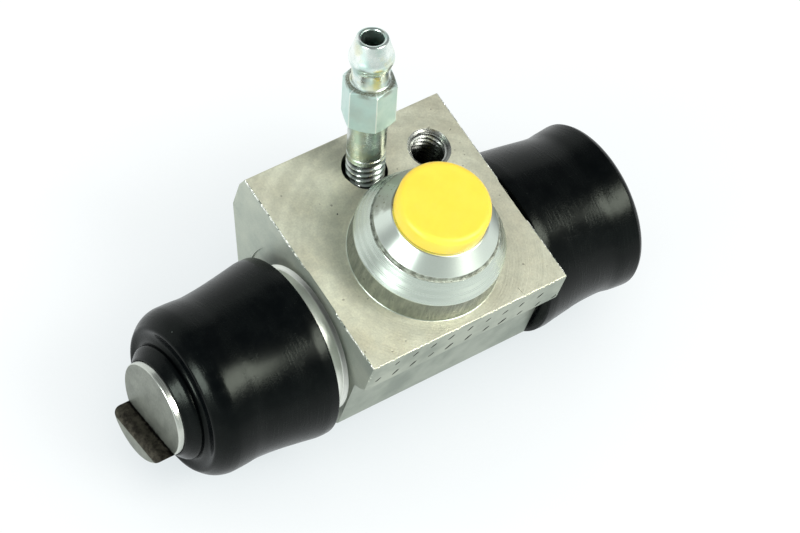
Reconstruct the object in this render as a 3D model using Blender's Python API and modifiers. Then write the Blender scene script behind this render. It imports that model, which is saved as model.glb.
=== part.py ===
"""Rear drum-brake wheel cylinder, modelled in metres with +Z out of its mounting face.

The origin is where the axis of the round boss meets the mounting face. The bore runs along X,
and the bleed screw stands on the +Y side.
"""

import math

import bmesh
import bpy
from mathutils import Vector

MM = 0.001
NAME = "wheel_cylinder"

# Gaps between neighbouring pieces, and how far a cutter runs past what it cuts
SLIDE_CLEARANCE = 0.2 * MM
SEAT_CLEARANCE = 0.3 * MM
CUTTER_OVERRUN = 1.0 * MM

# Bore and mounting face
BORE_DIAMETER = 14.29 * MM
BORE_DEPTH = 13.7 * MM
BORE_OFFSET_Y = 1.3 * MM
BORE_MOUTH_CHAMFER = 0.5 * MM

# Extruded body
BODY_LENGTH = 34.0 * MM
BACK_REACH = 21.1 * MM
BACK_CORNER_INSET = 0.7 * MM
BACK_CORNER_DROP = 2.2 * MM
BACK_FLANK_DROP = 7.5 * MM
BACK_FLANK_LEAN = math.radians(25.8)
FRONT_REACH = 14.05 * MM
FRONT_STRIP_HEIGHT = 6.25 * MM
FRONT_FLANK_REACH = 11.8 * MM
FRONT_UNDERCUT_DROP = 2.3 * MM
BARREL_WALL = 6.35 * MM
SPOT_FACE_RADIUS = 14.2 * MM
SPOT_FACE_DEPTH = 0.25 * MM

# Neck that carries each boot
NECK_RADIUS = 11.4 * MM
NECK_FILLET = 0.6 * MM
NECK_LENGTH = 14.0 * MM
BOOT_STANDOFF = {"left": 2.9 * MM, "right": 0.4 * MM}
BEAD_GROOVE_SETBACK = 0.7 * MM
BEAD_GROOVE_WIDTH = 2.2 * MM
BEAD_GROOVE_DEPTH = 1.1 * MM
NECK_LIP_WIDTH = 1.4 * MM
NECK_LIP_RADIUS = 11.0 * MM
NOSE_RADIUS = 10.0 * MM

# Pipe boss on the mounting face
BOSS_RADIUS = 11.2 * MM
BOSS_WALL_HEIGHT = 4.5 * MM
BOSS_RING_RADIUS = 9.45 * MM
BOSS_RING_HEIGHT = 7.9 * MM
BOSS_GROOVE_DEPTH = 0.35 * MM
BOSS_GROOVE_WIDTH = 0.6 * MM
BOSS_TOP_RADIUS = 7.1 * MM
BOSS_HEIGHT = 11.1 * MM
PORT_RADIUS = 4.5 * MM
PORT_DEPTH = 10.0 * MM
PORT_DRILLING_RADIUS = 1.25 * MM

# Tapped hole for the mounting bolt
BOLT_X = 10.6 * MM
BOLT_Y = 14.3 * MM
BOLT_HOLE_RADIUS = 2.5 * MM
BOLT_HOLE_DEPTH = 12.0 * MM
BOLT_COUNTERSINK_RADIUS = 3.35 * MM

# Bleed screw and its hole
BLEED_Y = 15.5 * MM
BLEED_TILT = math.radians(16.6)
THREAD_RADIUS = 2.9 * MM
THREAD_TOP = 3.4 * MM
SCREW_DEPTH = 12.0 * MM
SCREW_NOSE_RADIUS = 0.9 * MM
SCREW_NOSE_LENGTH = 2.0 * MM
SHANK_RADIUS = 2.85 * MM
HEX_BOTTOM = 10.3 * MM
HEX_HEIGHT = 7.5 * MM
HEX_ACROSS_FLATS = 7.0 * MM
HEX_TURN = math.radians(9.7)
NIPPLE_NECK_RADIUS = 2.64 * MM
NIPPLE_BULB_RADIUS = 3.3 * MM
NIPPLE_TIP_RADIUS = 2.36 * MM
NIPPLE_LENGTH = 7.8 * MM
NIPPLE_BULB_SETBACK = 3.4 * MM
NIPPLE_BORE_RADIUS = 1.65 * MM
SCREW_EDGE = 0.3 * MM
HEX_CORNER_SLOPE = 2.0
SCREW_DRILLING_RADIUS = 0.8 * MM
SCREW_DRILLING_DEPTH = 6.0 * MM
BLEED_MOUTH_RADIUS = 3.4 * MM
BLEED_DRILLING_RADIUS = 0.8 * MM

# Pistons, and how far each one's seat stands out beyond the end of its neck
PISTON_REACH = {"left": 11.7 * MM, "right": 7.3 * MM}
PISTON_LENGTH = 24.0 * MM
TAB_HEIGHT = 2.8 * MM
TAB_CHORD = 3.9 * MM
TAB_TURN = math.radians(15.0)
TAB_LEAN = math.radians(10.0)
PISTON_EDGE = 0.35 * MM
BOOT_GROOVE_SETBACK = 3.1 * MM
BOOT_GROOVE_WIDTH = 1.8 * MM
BOOT_GROOVE_DEPTH = 0.9 * MM
SEAL_GROOVE_SETBACK = 2.4 * MM
SEAL_GROOVE_WIDTH = 3.4 * MM
SEAL_GROOVE_DEPTH = 1.9 * MM
SPRING_SEAT_RADIUS = 5.5 * MM
SPRING_SEAT_DEPTH = 3.0 * MM

# Return spring
SPRING_MEAN_RADIUS = 4.7 * MM
SPRING_WIRE = 0.9 * MM
SPRING_TURNS = 7.0
SPRING_END_TURNS = 1.0

# Boots; the right one is pushed home on its neck and pressed short by its piston
BOOT_RIM_RADIUS = 13.85 * MM
BOOT_WAIST_RADIUS = 12.65 * MM
BOOT_CREST_RADIUS = {"left": 12.85 * MM, "right": 13.1 * MM}
BOOT_CREST_SETBACK = {"left": 4.7 * MM, "right": 1.7 * MM}
BOOT_SHOULDER_LENGTH = {"left": 4.2 * MM, "right": 2.0 * MM}
BOOT_WALL = 1.6 * MM
BOOT_COLLAR_RADIUS = 8.8 * MM
BOOT_COLLAR_SETBACK = 2.4 * MM
BOOT_LIP_SETBACK = 1.0 * MM
BOOT_LIP_WALL = 0.3 * MM
BOOT_VALLEY_SETBACK = 1.1 * MM
BOOT_WAIST_SETBACK = 4.3 * MM
BOOT_RIM_WIDTH = 2.4 * MM
BOOT_EDGE = 0.6 * MM

# Transport plug in the pipe port
PLUG_HEAD_RADIUS = 6.85 * MM
PLUG_HEAD_HEIGHT = 3.0 * MM
PLUG_STEM_LENGTH = 7.5 * MM
PLUG_EDGE = 0.5 * MM

# Facets of round forms
BIG_STEPS = 40
BOOT_STEPS = 36
SMALL_STEPS = 32
WIRE_STEPS = 12
OUTLINE_STEPS = 10
FLANK_STEPS = 3
FACET_SHIFT = math.radians(1.0)

BORE_RADIUS = BORE_DIAMETER / 2 + SLIDE_CLEARANCE
PISTON_RADIUS = BORE_DIAMETER / 2
BARREL_RADIUS = BORE_DIAMETER / 2 + BARREL_WALL
HALF_BODY = BODY_LENGTH / 2
NECK_END = HALF_BODY + NECK_LENGTH
BORE_CENTRE = Vector((0.0, BORE_OFFSET_Y, -BORE_DEPTH))
SIDES = {"left": -1, "right": 1}
BOOT_START = {side: HALF_BODY + BOOT_STANDOFF[side] for side in SIDES}
PISTON_SEAT = {side: NECK_END + PISTON_REACH[side] for side in SIDES}


def clearScene():
    for thing in list(bpy.data.objects):
        bpy.data.objects.remove(thing, do_unlink=True)


def newCollection(name):
    collection = bpy.data.collections.new(name)
    bpy.context.scene.collection.children.link(collection)
    return collection


def newMaterial(name, colour, roughness, metallic):
    material = bpy.data.materials.new(name)
    material.use_nodes = True
    shader = material.node_tree.nodes["Principled BSDF"]
    shader.inputs["Base Color"].default_value = (*colour, 1.0)
    shader.inputs["Roughness"].default_value = roughness
    shader.inputs["Metallic"].default_value = metallic
    material.diffuse_color = (*colour, 1.0)
    return material


def newEmpty(name, location, rotation=(0.0, 0.0, 0.0)):
    empty = bpy.data.objects.new(name, None)
    empty.location = location
    empty.rotation_euler = rotation
    parts.objects.link(empty)
    return empty


def addObject(name, mesh, collection, material=None, parent=None):
    thing = bpy.data.objects.new(name, mesh)
    collection.objects.link(thing)
    thing.parent = parent
    if material:
        mesh.materials.append(material)
    if collection is cutters:
        thing.hide_render = True
        thing.display_type = "WIRE"
    return thing


def turn(name, profile, steps, collection, material=None, parent=None, closed=False):
    """Turn a profile of (radius, height) points, top to bottom down its outer side, about local Z."""
    mesh = bpy.data.meshes.new(name)
    count = len(profile)
    edges = [(i, i + 1) for i in range(count - 1)]
    if closed:
        edges.append((count - 1, 0))
    mesh.from_pydata([(radius, 0.0, height) for radius, height in profile], edges, [])
    thing = addObject(name, mesh, collection, material, parent)
    screw = thing.modifiers.new("Turn", "SCREW")
    screw.axis = "Z"
    screw.angle = 2 * math.pi
    screw.steps = steps
    screw.render_steps = steps
    screw.use_merge_vertices = True
    screw.merge_threshold = 0.00001
    screw.use_smooth_shade = False
    return thing


def combine(target, tool, operation, solver="EXACT"):
    step = target.modifiers.new(tool.name, "BOOLEAN")
    step.operation = operation
    step.solver = solver
    step.object = tool


def smoothPath(points, steps):
    """Points along a Catmull-Rom curve that passes through the given ones."""
    ends = [points[0]] + list(points) + [points[-1]]
    path = []
    for i in range(1, len(ends) - 2):
        a, b, c, d = (Vector(p) for p in ends[i - 1 : i + 3])
        for k in range(steps):
            t = k / steps
            path.append(
                0.5 * ((2 * b) + (c - a) * t + (2 * a - 5 * b + 4 * c - d) * t**2
                       + (3 * b - a - 3 * c + d) * t**3)
            )
    path.append(Vector(points[-1]))
    return [tuple(p) for p in path]


def arc(centre, radius, start, end, steps):
    """Points of an arc in a plane, with its angles in radians."""
    angles = (start + (end - start) * i / steps for i in range(steps + 1))
    return [(centre[0] + radius * math.cos(a), centre[1] + radius * math.sin(a)) for a in angles]


def curveToMesh(curve, material=None):
    """Replace a curve object by a mesh object of the same name with its caps welded on."""
    name = curve.name
    curve.name = name + "_curve"
    depsgraph = bpy.context.evaluated_depsgraph_get()
    mesh = bpy.data.meshes.new_from_object(curve.evaluated_get(depsgraph))
    shape = bmesh.new()
    shape.from_mesh(mesh)
    bmesh.ops.remove_doubles(shape, verts=shape.verts, dist=0.000002)
    bmesh.ops.recalc_face_normals(shape, faces=shape.faces)
    shape.to_mesh(mesh)
    shape.free()
    mesh.materials.clear()
    collection = curve.users_collection[0]
    thing = addObject(name, mesh, collection, material, curve.parent)
    thing.matrix_world = curve.matrix_world
    bpy.data.objects.remove(curve, do_unlink=True)
    return thing


def smoothRound(thing, angle=30.0):
    thing.data.shade_smooth()
    thing.data.set_sharp_from_angle(angle=math.radians(angle))


def bodyOutline():
    """Section of the extruded body in (y, z) about the bore axis, counter-clockwise from its top front."""
    top = BORE_DEPTH
    flankTop = (BACK_REACH, top - BACK_FLANK_DROP)
    lean = Vector((-math.sin(BACK_FLANK_LEAN), -math.cos(BACK_FLANK_LEAN)))
    normal = Vector((-lean.y, lean.x))
    backCentre = Vector((0.0, 0.0))
    backCentre.x = (Vector(flankTop).dot(normal) - BARREL_RADIUS) / normal.x
    footAngle = math.atan2(normal.y, normal.x)
    undercut = BORE_DEPTH - FRONT_STRIP_HEIGHT - FRONT_UNDERCUT_DROP
    frontAngle = math.acos(FRONT_FLANK_REACH / BARREL_RADIUS)
    outline = [(-FRONT_REACH, top - FRONT_STRIP_HEIGHT), (-FRONT_FLANK_REACH, undercut)]
    outline += arc((0.0, 0.0), BARREL_RADIUS, math.pi + frontAngle, 1.5 * math.pi, OUTLINE_STEPS)
    outline += arc(backCentre, BARREL_RADIUS, -0.5 * math.pi, footAngle, OUTLINE_STEPS)
    outline += [flankTop, (BACK_REACH, top - BACK_CORNER_DROP), (BACK_REACH - BACK_CORNER_INSET, top)]
    outline += [(-FRONT_REACH, top)]
    return outline


def makeHousing(material):
    outline = bodyOutline()
    curve = bpy.data.curves.new("housing", "CURVE")
    curve.dimensions = "2D"
    curve.fill_mode = "BOTH"
    curve.extrude = HALF_BODY
    spline = curve.splines.new("POLY")
    spline.points.add(len(outline) - 1)
    for point, (y, z) in zip(spline.points, outline):
        point.co = (y, z, 0.0, 1.0)
    spline.use_cyclic_u = True
    section = bpy.data.objects.new("housing", curve)
    section.location = BORE_CENTRE
    section.rotation_euler = (math.pi / 2, 0.0, math.pi / 2)
    parts.objects.link(section)
    bpy.context.view_layer.update()
    housing = curveToMesh(section, material)

    face = HALF_BODY - SPOT_FACE_DEPTH
    far = HALF_BODY + CUTTER_OVERRUN
    for side in SIDES:
        spot = turn(f"{side}_spot_face", [(0.0, far), (SPOT_FACE_RADIUS, far), (SPOT_FACE_RADIUS, face),
                                          (0.0, face)], BIG_STEPS, cutters, parent=boreAxis[side])
        combine(housing, spot, "DIFFERENCE")

    neck = turn("neck_form", neckProfile(), BIG_STEPS, cutters, parent=boreAxis["right"])
    combine(housing, neck, "UNION")
    boss = turn("boss_form", bossProfile(), BIG_STEPS, cutters)
    combine(housing, boss, "UNION")
    bore = turn("bore_cut", boreProfile(), BIG_STEPS, cutters, parent=boreAxis["right"])
    combine(housing, bore, "DIFFERENCE")
    port = turn("port_cut", portProfile(), SMALL_STEPS, cutters)
    port.rotation_euler.z = FACET_SHIFT
    combine(housing, port, "DIFFERENCE")
    bolt = turn("bolt_cut", boltProfile(), SMALL_STEPS, cutters)
    bolt.location = (BOLT_X, BOLT_Y, 0.0)
    combine(housing, bolt, "DIFFERENCE")
    bleed = turn("bleed_cut", bleedProfile(), SMALL_STEPS, cutters, parent=bleedAxis)
    combine(housing, bleed, "DIFFERENCE")
    combine(housing, makeBleedDrilling(), "DIFFERENCE")
    smoothRound(housing)
    return housing


def neckSide(start):
    """One neck, from its end back to the body, with the groove for a boot whose rim starts at start."""
    grooveStart = start + BEAD_GROOVE_SETBACK
    grooveEnd = grooveStart + BEAD_GROOVE_WIDTH
    lipEnd = grooveEnd + NECK_LIP_WIDTH
    grooveRadius = NECK_RADIUS - BEAD_GROOVE_DEPTH
    face = HALF_BODY - SPOT_FACE_DEPTH
    fillet = [(NECK_RADIUS + NECK_FILLET * (1 - math.cos(a)), face + NECK_FILLET * (1 - math.sin(a)))
              for a in (math.radians(d) for d in (0, 30, 60, 90))]
    side = [
        (0.0, NECK_END),
        (NOSE_RADIUS - BORE_MOUTH_CHAMFER, NECK_END),
        (NOSE_RADIUS, NECK_END - BORE_MOUTH_CHAMFER),
        (NOSE_RADIUS, lipEnd + NECK_LIP_RADIUS - NOSE_RADIUS),
        (NECK_LIP_RADIUS, lipEnd),
        (NECK_LIP_RADIUS, grooveEnd),
        (grooveRadius, grooveEnd),
        (grooveRadius, grooveStart),
        (NECK_RADIUS, grooveStart),
    ]
    side += fillet
    side.append((NECK_RADIUS + NECK_FILLET, face - CUTTER_OVERRUN))
    side.append((NECK_RADIUS - CUTTER_OVERRUN, face - 2 * CUTTER_OVERRUN))
    return side


def neckProfile():
    """Both necks and the core between them, as one turned bar along the bore."""
    left = neckSide(BOOT_START["left"])
    return neckSide(BOOT_START["right"]) + [(radius, -height) for radius, height in reversed(left)]


def boreProfile():
    mouth = BORE_RADIUS + BORE_MOUTH_CHAMFER
    far = NECK_END + CUTTER_OVERRUN
    side = [(0.0, far), (mouth, far), (mouth, NECK_END), (BORE_RADIUS, NECK_END - BORE_MOUTH_CHAMFER)]
    return side + [(radius, -height) for radius, height in reversed(side)]


def bossProfile():
    root = -2 * CUTTER_OVERRUN
    grooveTop = BOSS_RING_HEIGHT + BOSS_GROOVE_WIDTH
    grooveRadius = BOSS_RING_RADIUS - BOSS_GROOVE_DEPTH
    return [
        (0.0, BOSS_HEIGHT),
        (BOSS_TOP_RADIUS, BOSS_HEIGHT),
        (grooveRadius, grooveTop),
        (grooveRadius, BOSS_RING_HEIGHT),
        (BOSS_RING_RADIUS, BOSS_RING_HEIGHT),
        (BOSS_RADIUS, BOSS_WALL_HEIGHT),
        (BOSS_RADIUS, root),
        (0.0, root),
    ]


def portProfile():
    floor = BOSS_HEIGHT - PORT_DEPTH
    cone = PORT_RADIUS - PORT_DRILLING_RADIUS
    through = -BORE_DEPTH + BORE_RADIUS / 2
    far = BOSS_HEIGHT + CUTTER_OVERRUN
    return [(0.0, far), (PORT_RADIUS, far), (PORT_RADIUS, floor), (PORT_DRILLING_RADIUS, floor - cone / 2),
            (PORT_DRILLING_RADIUS, through), (0.0, through)]


def boltProfile():
    sink = BOLT_COUNTERSINK_RADIUS - BOLT_HOLE_RADIUS
    far = CUTTER_OVERRUN
    return [(0.0, far), (BOLT_COUNTERSINK_RADIUS, far), (BOLT_COUNTERSINK_RADIUS, 0.0),
            (BOLT_HOLE_RADIUS, -sink), (BOLT_HOLE_RADIUS, -BOLT_HOLE_DEPTH),
            (0.0, -BOLT_HOLE_DEPTH - BOLT_HOLE_RADIUS / 2)]


def bleedProfile():
    """Tapped hole, its tapered seat and the start of the drilling, along the tilted screw axis."""
    hole = THREAD_RADIUS + SEAT_CLEARANCE
    mouthDepth = 2 * CUTTER_OVERRUN
    seatTop = -(SCREW_DEPTH - SCREW_NOSE_LENGTH) - SEAT_CLEARANCE
    seatFoot = -SCREW_DEPTH - SEAT_CLEARANCE
    return [(0.0, mouthDepth), (BLEED_MOUTH_RADIUS, mouthDepth), (BLEED_MOUTH_RADIUS, 0.0),
            (hole, -(BLEED_MOUTH_RADIUS - hole)), (hole, seatTop),
            (SCREW_NOSE_RADIUS + SEAT_CLEARANCE, seatFoot), (0.0, seatFoot)]


def makeBleedDrilling():
    """Slanted drilling from the foot of the bleed screw to the middle of the bore."""
    axis = Vector((0.0, math.sin(BLEED_TILT), math.cos(BLEED_TILT)))
    foot = Vector((0.0, BLEED_Y, 0.0)) - axis * (SCREW_DEPTH - SCREW_NOSE_RADIUS)
    run = BORE_CENTRE - foot
    length = run.length
    radius = BLEED_DRILLING_RADIUS
    drilling = turn("bleed_drilling_cut", [(0.0, length), (radius, length), (radius, 0.0), (0.0, 0.0)],
                    SMALL_STEPS, cutters)
    drilling.location = foot
    drilling.rotation_euler = run.to_track_quat("Z", "Y").to_euler()
    return drilling


def pistonProfile(seat):
    inner = seat - PISTON_LENGTH
    bootGroove = seat - BOOT_GROOVE_SETBACK
    sealGroove = inner + SEAL_GROOVE_SETBACK + SEAL_GROOVE_WIDTH
    bootGrooveRadius = PISTON_RADIUS - BOOT_GROOVE_DEPTH
    sealGrooveRadius = PISTON_RADIUS - SEAL_GROOVE_DEPTH
    end = seat + TAB_HEIGHT
    return [
        (0.0, end),
        (PISTON_RADIUS - PISTON_EDGE, end),
        (PISTON_RADIUS, end - PISTON_EDGE),
        (PISTON_RADIUS, bootGroove),
        (bootGrooveRadius, bootGroove),
        (bootGrooveRadius, bootGroove - BOOT_GROOVE_WIDTH),
        (PISTON_RADIUS, bootGroove - BOOT_GROOVE_WIDTH),
        (PISTON_RADIUS, sealGroove),
        (sealGrooveRadius, sealGroove),
        (sealGrooveRadius, sealGroove - SEAL_GROOVE_WIDTH),
        (PISTON_RADIUS, sealGroove - SEAL_GROOVE_WIDTH),
        (PISTON_RADIUS, inner + PISTON_EDGE),
        (PISTON_RADIUS - PISTON_EDGE, inner),
        (SPRING_SEAT_RADIUS, inner),
        (SPRING_SEAT_RADIUS, inner + SPRING_SEAT_DEPTH),
        (0.0, inner + SPRING_SEAT_DEPTH),
    ]


def makePiston(side, seat, material):
    piston = turn(f"{side}_piston", pistonProfile(seat), SMALL_STEPS, parts, material, pistonAxis[side])
    width = 4 * PISTON_RADIUS
    mesh = bpy.data.meshes.new(f"{side}_tab_cut")
    block = bmesh.new()
    bmesh.ops.create_cube(block, size=1.0)
    bmesh.ops.scale(block, vec=(width, width, 2 * TAB_HEIGHT), verts=block.verts)
    for corner in block.verts:
        if corner.co.x < 0 and corner.co.z > 0:
            corner.co.x -= 2 * TAB_HEIGHT * math.tan(TAB_LEAN)
    block.to_mesh(mesh)
    block.free()
    cut = addObject(f"{side}_tab_cut", mesh, cutters, parent=pistonAxis[side])
    sign = SIDES[side]
    up = Vector((-sign * math.cos(TAB_TURN), math.sin(TAB_TURN), 0.0))
    cut.location = up * (width / 2 - TAB_CHORD) + Vector((0.0, 0.0, seat + TAB_HEIGHT))
    cut.rotation_euler = (0.0, 0.0, math.atan2(up.y, up.x))
    combine(piston, cut, "DIFFERENCE")
    smoothRound(piston)
    return piston


def makeSeal(side, seat, material):
    """Lip seal in the groove at the inner end of a piston, its lips towards the fluid."""
    root = PISTON_RADIUS - SEAL_GROOVE_DEPTH + SEAT_CLEARANCE
    low = seat - PISTON_LENGTH + SEAL_GROOVE_SETBACK + SEAT_CLEARANCE
    high = low + SEAL_GROOVE_WIDTH - 2 * SEAT_CLEARANCE
    middle = (root + PISTON_RADIUS) / 2
    lip = SEAT_CLEARANCE
    profile = [
        (root, high),
        (PISTON_RADIUS - lip, high),
        (PISTON_RADIUS, high - 2 * lip),
        (PISTON_RADIUS, low),
        (PISTON_RADIUS - lip, low),
        (middle, low + 3 * lip),
        (root + lip, low),
        (root, low),
    ]
    seal = turn(f"{side}_seal", profile, SMALL_STEPS, parts, material, pistonAxis[side], closed=True)
    smoothRound(seal)
    return seal


def bootOuter(side, seat):
    """Outer side of a boot, from its collar on the piston down to its rim on the neck."""
    start = BOOT_START[side]
    collarEnd = seat - BOOT_COLLAR_SETBACK
    valley = collarEnd - BOOT_VALLEY_SETBACK
    crest = collarEnd - BOOT_CREST_SETBACK[side]
    crestRadius = BOOT_CREST_RADIUS[side]
    waist = crest - BOOT_WAIST_SETBACK
    lipEnd = seat - BOOT_LIP_SETBACK
    lipRadius = PISTON_RADIUS + SEAT_CLEARANCE + BOOT_LIP_WALL
    collar = [
        (lipRadius, lipEnd),
        ((lipRadius + BOOT_COLLAR_RADIUS) / 2, (lipEnd + collarEnd) / 2 + 0.3 * BOOT_EDGE),
        (BOOT_COLLAR_RADIUS - 0.3 * BOOT_EDGE, collarEnd - 0.3 * BOOT_EDGE),
        (BOOT_COLLAR_RADIUS, collarEnd - BOOT_EDGE),
        (BOOT_COLLAR_RADIUS, valley),
        (BOOT_COLLAR_RADIUS + BOOT_EDGE, valley),
    ]
    fall = crestRadius - BOOT_COLLAR_RADIUS - BOOT_EDGE / 2
    turned = [math.radians(d) for d in (78, 62, 46, 30, 15)]
    shoulderRound = [(crestRadius - fall * (1 - math.cos(a)),
                      crest + BOOT_SHOULDER_LENGTH[side] * math.sin(a)) for a in turned]
    flank = [
        (crestRadius, crest),
        (BOOT_WAIST_RADIUS, waist),
        ((BOOT_WAIST_RADIUS + BOOT_RIM_RADIUS) / 2, (waist + start) / 2),
        (BOOT_RIM_RADIUS, start + BOOT_RIM_WIDTH),
    ]
    rim = [
        (BOOT_RIM_RADIUS, start + BOOT_EDGE),
        (BOOT_RIM_RADIUS - 0.3 * BOOT_EDGE, start + 0.3 * BOOT_EDGE),
        (BOOT_RIM_RADIUS - BOOT_EDGE, start),
    ]
    return collar + shoulderRound + smoothPath(flank, FLANK_STEPS) + rim


def bootInner(side, seat):
    """Inner side of a boot, from its rim back up to its collar."""
    gap = SEAT_CLEARANCE
    start = BOOT_START[side]
    grooveStart = start + BEAD_GROOVE_SETBACK
    grooveEnd = grooveStart + BEAD_GROOVE_WIDTH
    beadRadius = NECK_RADIUS - BEAD_GROOVE_DEPTH + gap
    lipEnd = grooveEnd + NECK_LIP_WIDTH
    collarEnd = seat - BOOT_COLLAR_SETBACK
    endWall = collarEnd - BOOT_VALLEY_SETBACK - BOOT_WALL
    pistonGroove = seat - BOOT_GROOVE_SETBACK
    wallRadius = BOOT_WAIST_RADIUS - BOOT_WALL
    return [
        (NECK_RADIUS + gap, start),
        (NECK_RADIUS + gap, grooveStart + gap),
        (beadRadius, grooveStart + gap),
        (beadRadius, grooveEnd - gap),
        (NECK_LIP_RADIUS + gap, grooveEnd - gap),
        (NECK_LIP_RADIUS + gap, lipEnd),
        (wallRadius, lipEnd + 2 * BOOT_WALL),
        (wallRadius, endWall - BOOT_WALL),
        (wallRadius - BOOT_WALL, endWall),
        (PISTON_RADIUS + gap, endWall),
        (PISTON_RADIUS + gap, pistonGroove - BOOT_GROOVE_WIDTH + gap),
        (PISTON_RADIUS - BOOT_GROOVE_DEPTH + gap, pistonGroove - BOOT_GROOVE_WIDTH + gap),
        (PISTON_RADIUS - BOOT_GROOVE_DEPTH + gap, pistonGroove - gap),
        (PISTON_RADIUS + gap, pistonGroove - gap),
        (PISTON_RADIUS + gap, seat - BOOT_LIP_SETBACK),
    ]


def makeBoot(side, seat, material):
    profile = bootOuter(side, seat) + bootInner(side, seat)
    boot = turn(f"{side}_boot", profile, BOOT_STEPS, parts, material, boreAxis[side], closed=True)
    smoothRound(boot)
    return boot


def makeSpring(leftSeat, rightSeat, material):
    """Compression spring between the pistons, with its end turns wound close."""
    reach = SPRING_WIRE / 2 + SEAT_CLEARANCE
    start = -(leftSeat - PISTON_LENGTH + SPRING_SEAT_DEPTH) + reach
    end = rightSeat - PISTON_LENGTH + SPRING_SEAT_DEPTH - reach
    closeLength = SPRING_END_TURNS * (SPRING_WIRE + SLIDE_CLEARANCE)
    openTurns = SPRING_TURNS - 2 * SPRING_END_TURNS
    openLength = end - start - 2 * closeLength
    curve = bpy.data.curves.new("return_spring", "CURVE")
    curve.dimensions = "3D"
    curve.bevel_depth = SPRING_WIRE / 2
    curve.bevel_resolution = 2
    curve.use_fill_caps = True
    count = int(SPRING_TURNS * WIRE_STEPS)
    spline = curve.splines.new("POLY")
    spline.points.add(count)
    for i, point in enumerate(spline.points):
        turned = SPRING_TURNS * i / count
        first = min(turned, SPRING_END_TURNS) / SPRING_END_TURNS * closeLength
        middle = min(max(turned - SPRING_END_TURNS, 0.0), openTurns) / openTurns * openLength
        last = max(turned - SPRING_END_TURNS - openTurns, 0.0) / SPRING_END_TURNS * closeLength
        angle = 2 * math.pi * turned
        point.co = (SPRING_MEAN_RADIUS * math.cos(angle), SPRING_MEAN_RADIUS * math.sin(angle),
                    start + first + middle + last, 1.0)
    spring = bpy.data.objects.new("return_spring", curve)
    parts.objects.link(spring)
    spring.location = BORE_CENTRE
    spring.rotation_euler = (0.0, math.pi / 2, 0.0)
    bpy.context.view_layer.update()
    spring = curveToMesh(spring, material)
    smoothRound(spring, 60.0)
    return spring


def screwProfile():
    """Bleed screw as a solid bar, from its nipple down to its tapered nose."""
    hexTop = HEX_BOTTOM + HEX_HEIGHT
    tip = hexTop + NIPPLE_LENGTH
    bulb = tip - NIPPLE_BULB_SETBACK
    noseTop = -(SCREW_DEPTH - SCREW_NOSE_LENGTH)
    edge = SCREW_EDGE
    return [
        (0.0, tip),
        (NIPPLE_TIP_RADIUS - edge, tip),
        (NIPPLE_TIP_RADIUS, tip - edge),
        (NIPPLE_TIP_RADIUS + edge / 2, tip - 3 * edge),
        (NIPPLE_BULB_RADIUS - edge / 2, bulb + 2 * edge),
        (NIPPLE_BULB_RADIUS, bulb),
        (NIPPLE_BULB_RADIUS - edge / 6, bulb - 2 * edge),
        (NIPPLE_NECK_RADIUS + edge / 2, bulb - 4.5 * edge),
        (NIPPLE_NECK_RADIUS, bulb - 6 * edge),
        (NIPPLE_NECK_RADIUS, hexTop - edge),
        (SHANK_RADIUS, HEX_BOTTOM + edge),
        (SHANK_RADIUS, THREAD_TOP + edge),
        (THREAD_RADIUS, THREAD_TOP),
        (THREAD_RADIUS, noseTop + edge),
        (THREAD_RADIUS - edge, noseTop),
        (SCREW_NOSE_RADIUS, -SCREW_DEPTH),
        (0.0, -SCREW_DEPTH),
    ]


def makeHexagon():
    """Spanner hexagon of the bleed screw, with its corners turned back at both ends."""
    corner = HEX_ACROSS_FLATS / 2 / math.cos(math.pi / 6)
    mesh = bpy.data.meshes.new("hex_form")
    prism = bmesh.new()
    bmesh.ops.create_cone(prism, cap_ends=True, segments=6, radius1=corner, radius2=corner, depth=HEX_HEIGHT)
    prism.to_mesh(mesh)
    prism.free()
    hexagon = addObject("hex_form", mesh, cutters, parent=bleedAxis)
    hexagon.location.z = HEX_BOTTOM + HEX_HEIGHT / 2
    hexagon.rotation_euler.z = HEX_TURN
    inner = HEX_ACROSS_FLATS / 2 - HEX_CORNER_SLOPE * CUTTER_OVERRUN
    outer = corner + HEX_CORNER_SLOPE * CUTTER_OVERRUN / 2
    top = HEX_BOTTOM + HEX_HEIGHT
    envelope = turn("hex_corner_form", [
        (0.0, top + CUTTER_OVERRUN),
        (inner, top + CUTTER_OVERRUN),
        (outer, top - CUTTER_OVERRUN / 2),
        (outer, HEX_BOTTOM + CUTTER_OVERRUN / 2),
        (inner, HEX_BOTTOM - CUTTER_OVERRUN),
        (0.0, HEX_BOTTOM - CUTTER_OVERRUN),
    ], SMALL_STEPS, cutters, parent=bleedAxis)
    combine(hexagon, envelope, "INTERSECT")
    return hexagon


def makeBleedScrew(material):
    screw = turn("bleed_screw", screwProfile(), SMALL_STEPS, parts, material, bleedAxis)
    combine(screw, makeHexagon(), "UNION")
    far = HEX_BOTTOM + HEX_HEIGHT + NIPPLE_LENGTH + CUTTER_OVERRUN
    bore = turn("nipple_bore_cut", [
        (0.0, far),
        (NIPPLE_BORE_RADIUS, far),
        (NIPPLE_BORE_RADIUS, HEX_BOTTOM),
        (SCREW_DRILLING_RADIUS, HEX_BOTTOM - (NIPPLE_BORE_RADIUS - SCREW_DRILLING_RADIUS)),
        (SCREW_DRILLING_RADIUS, -SCREW_DRILLING_DEPTH),
        (0.0, -SCREW_DRILLING_DEPTH),
    ], SMALL_STEPS, cutters, parent=bleedAxis)
    combine(screw, bore, "DIFFERENCE")
    smoothRound(screw)
    return screw


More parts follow.
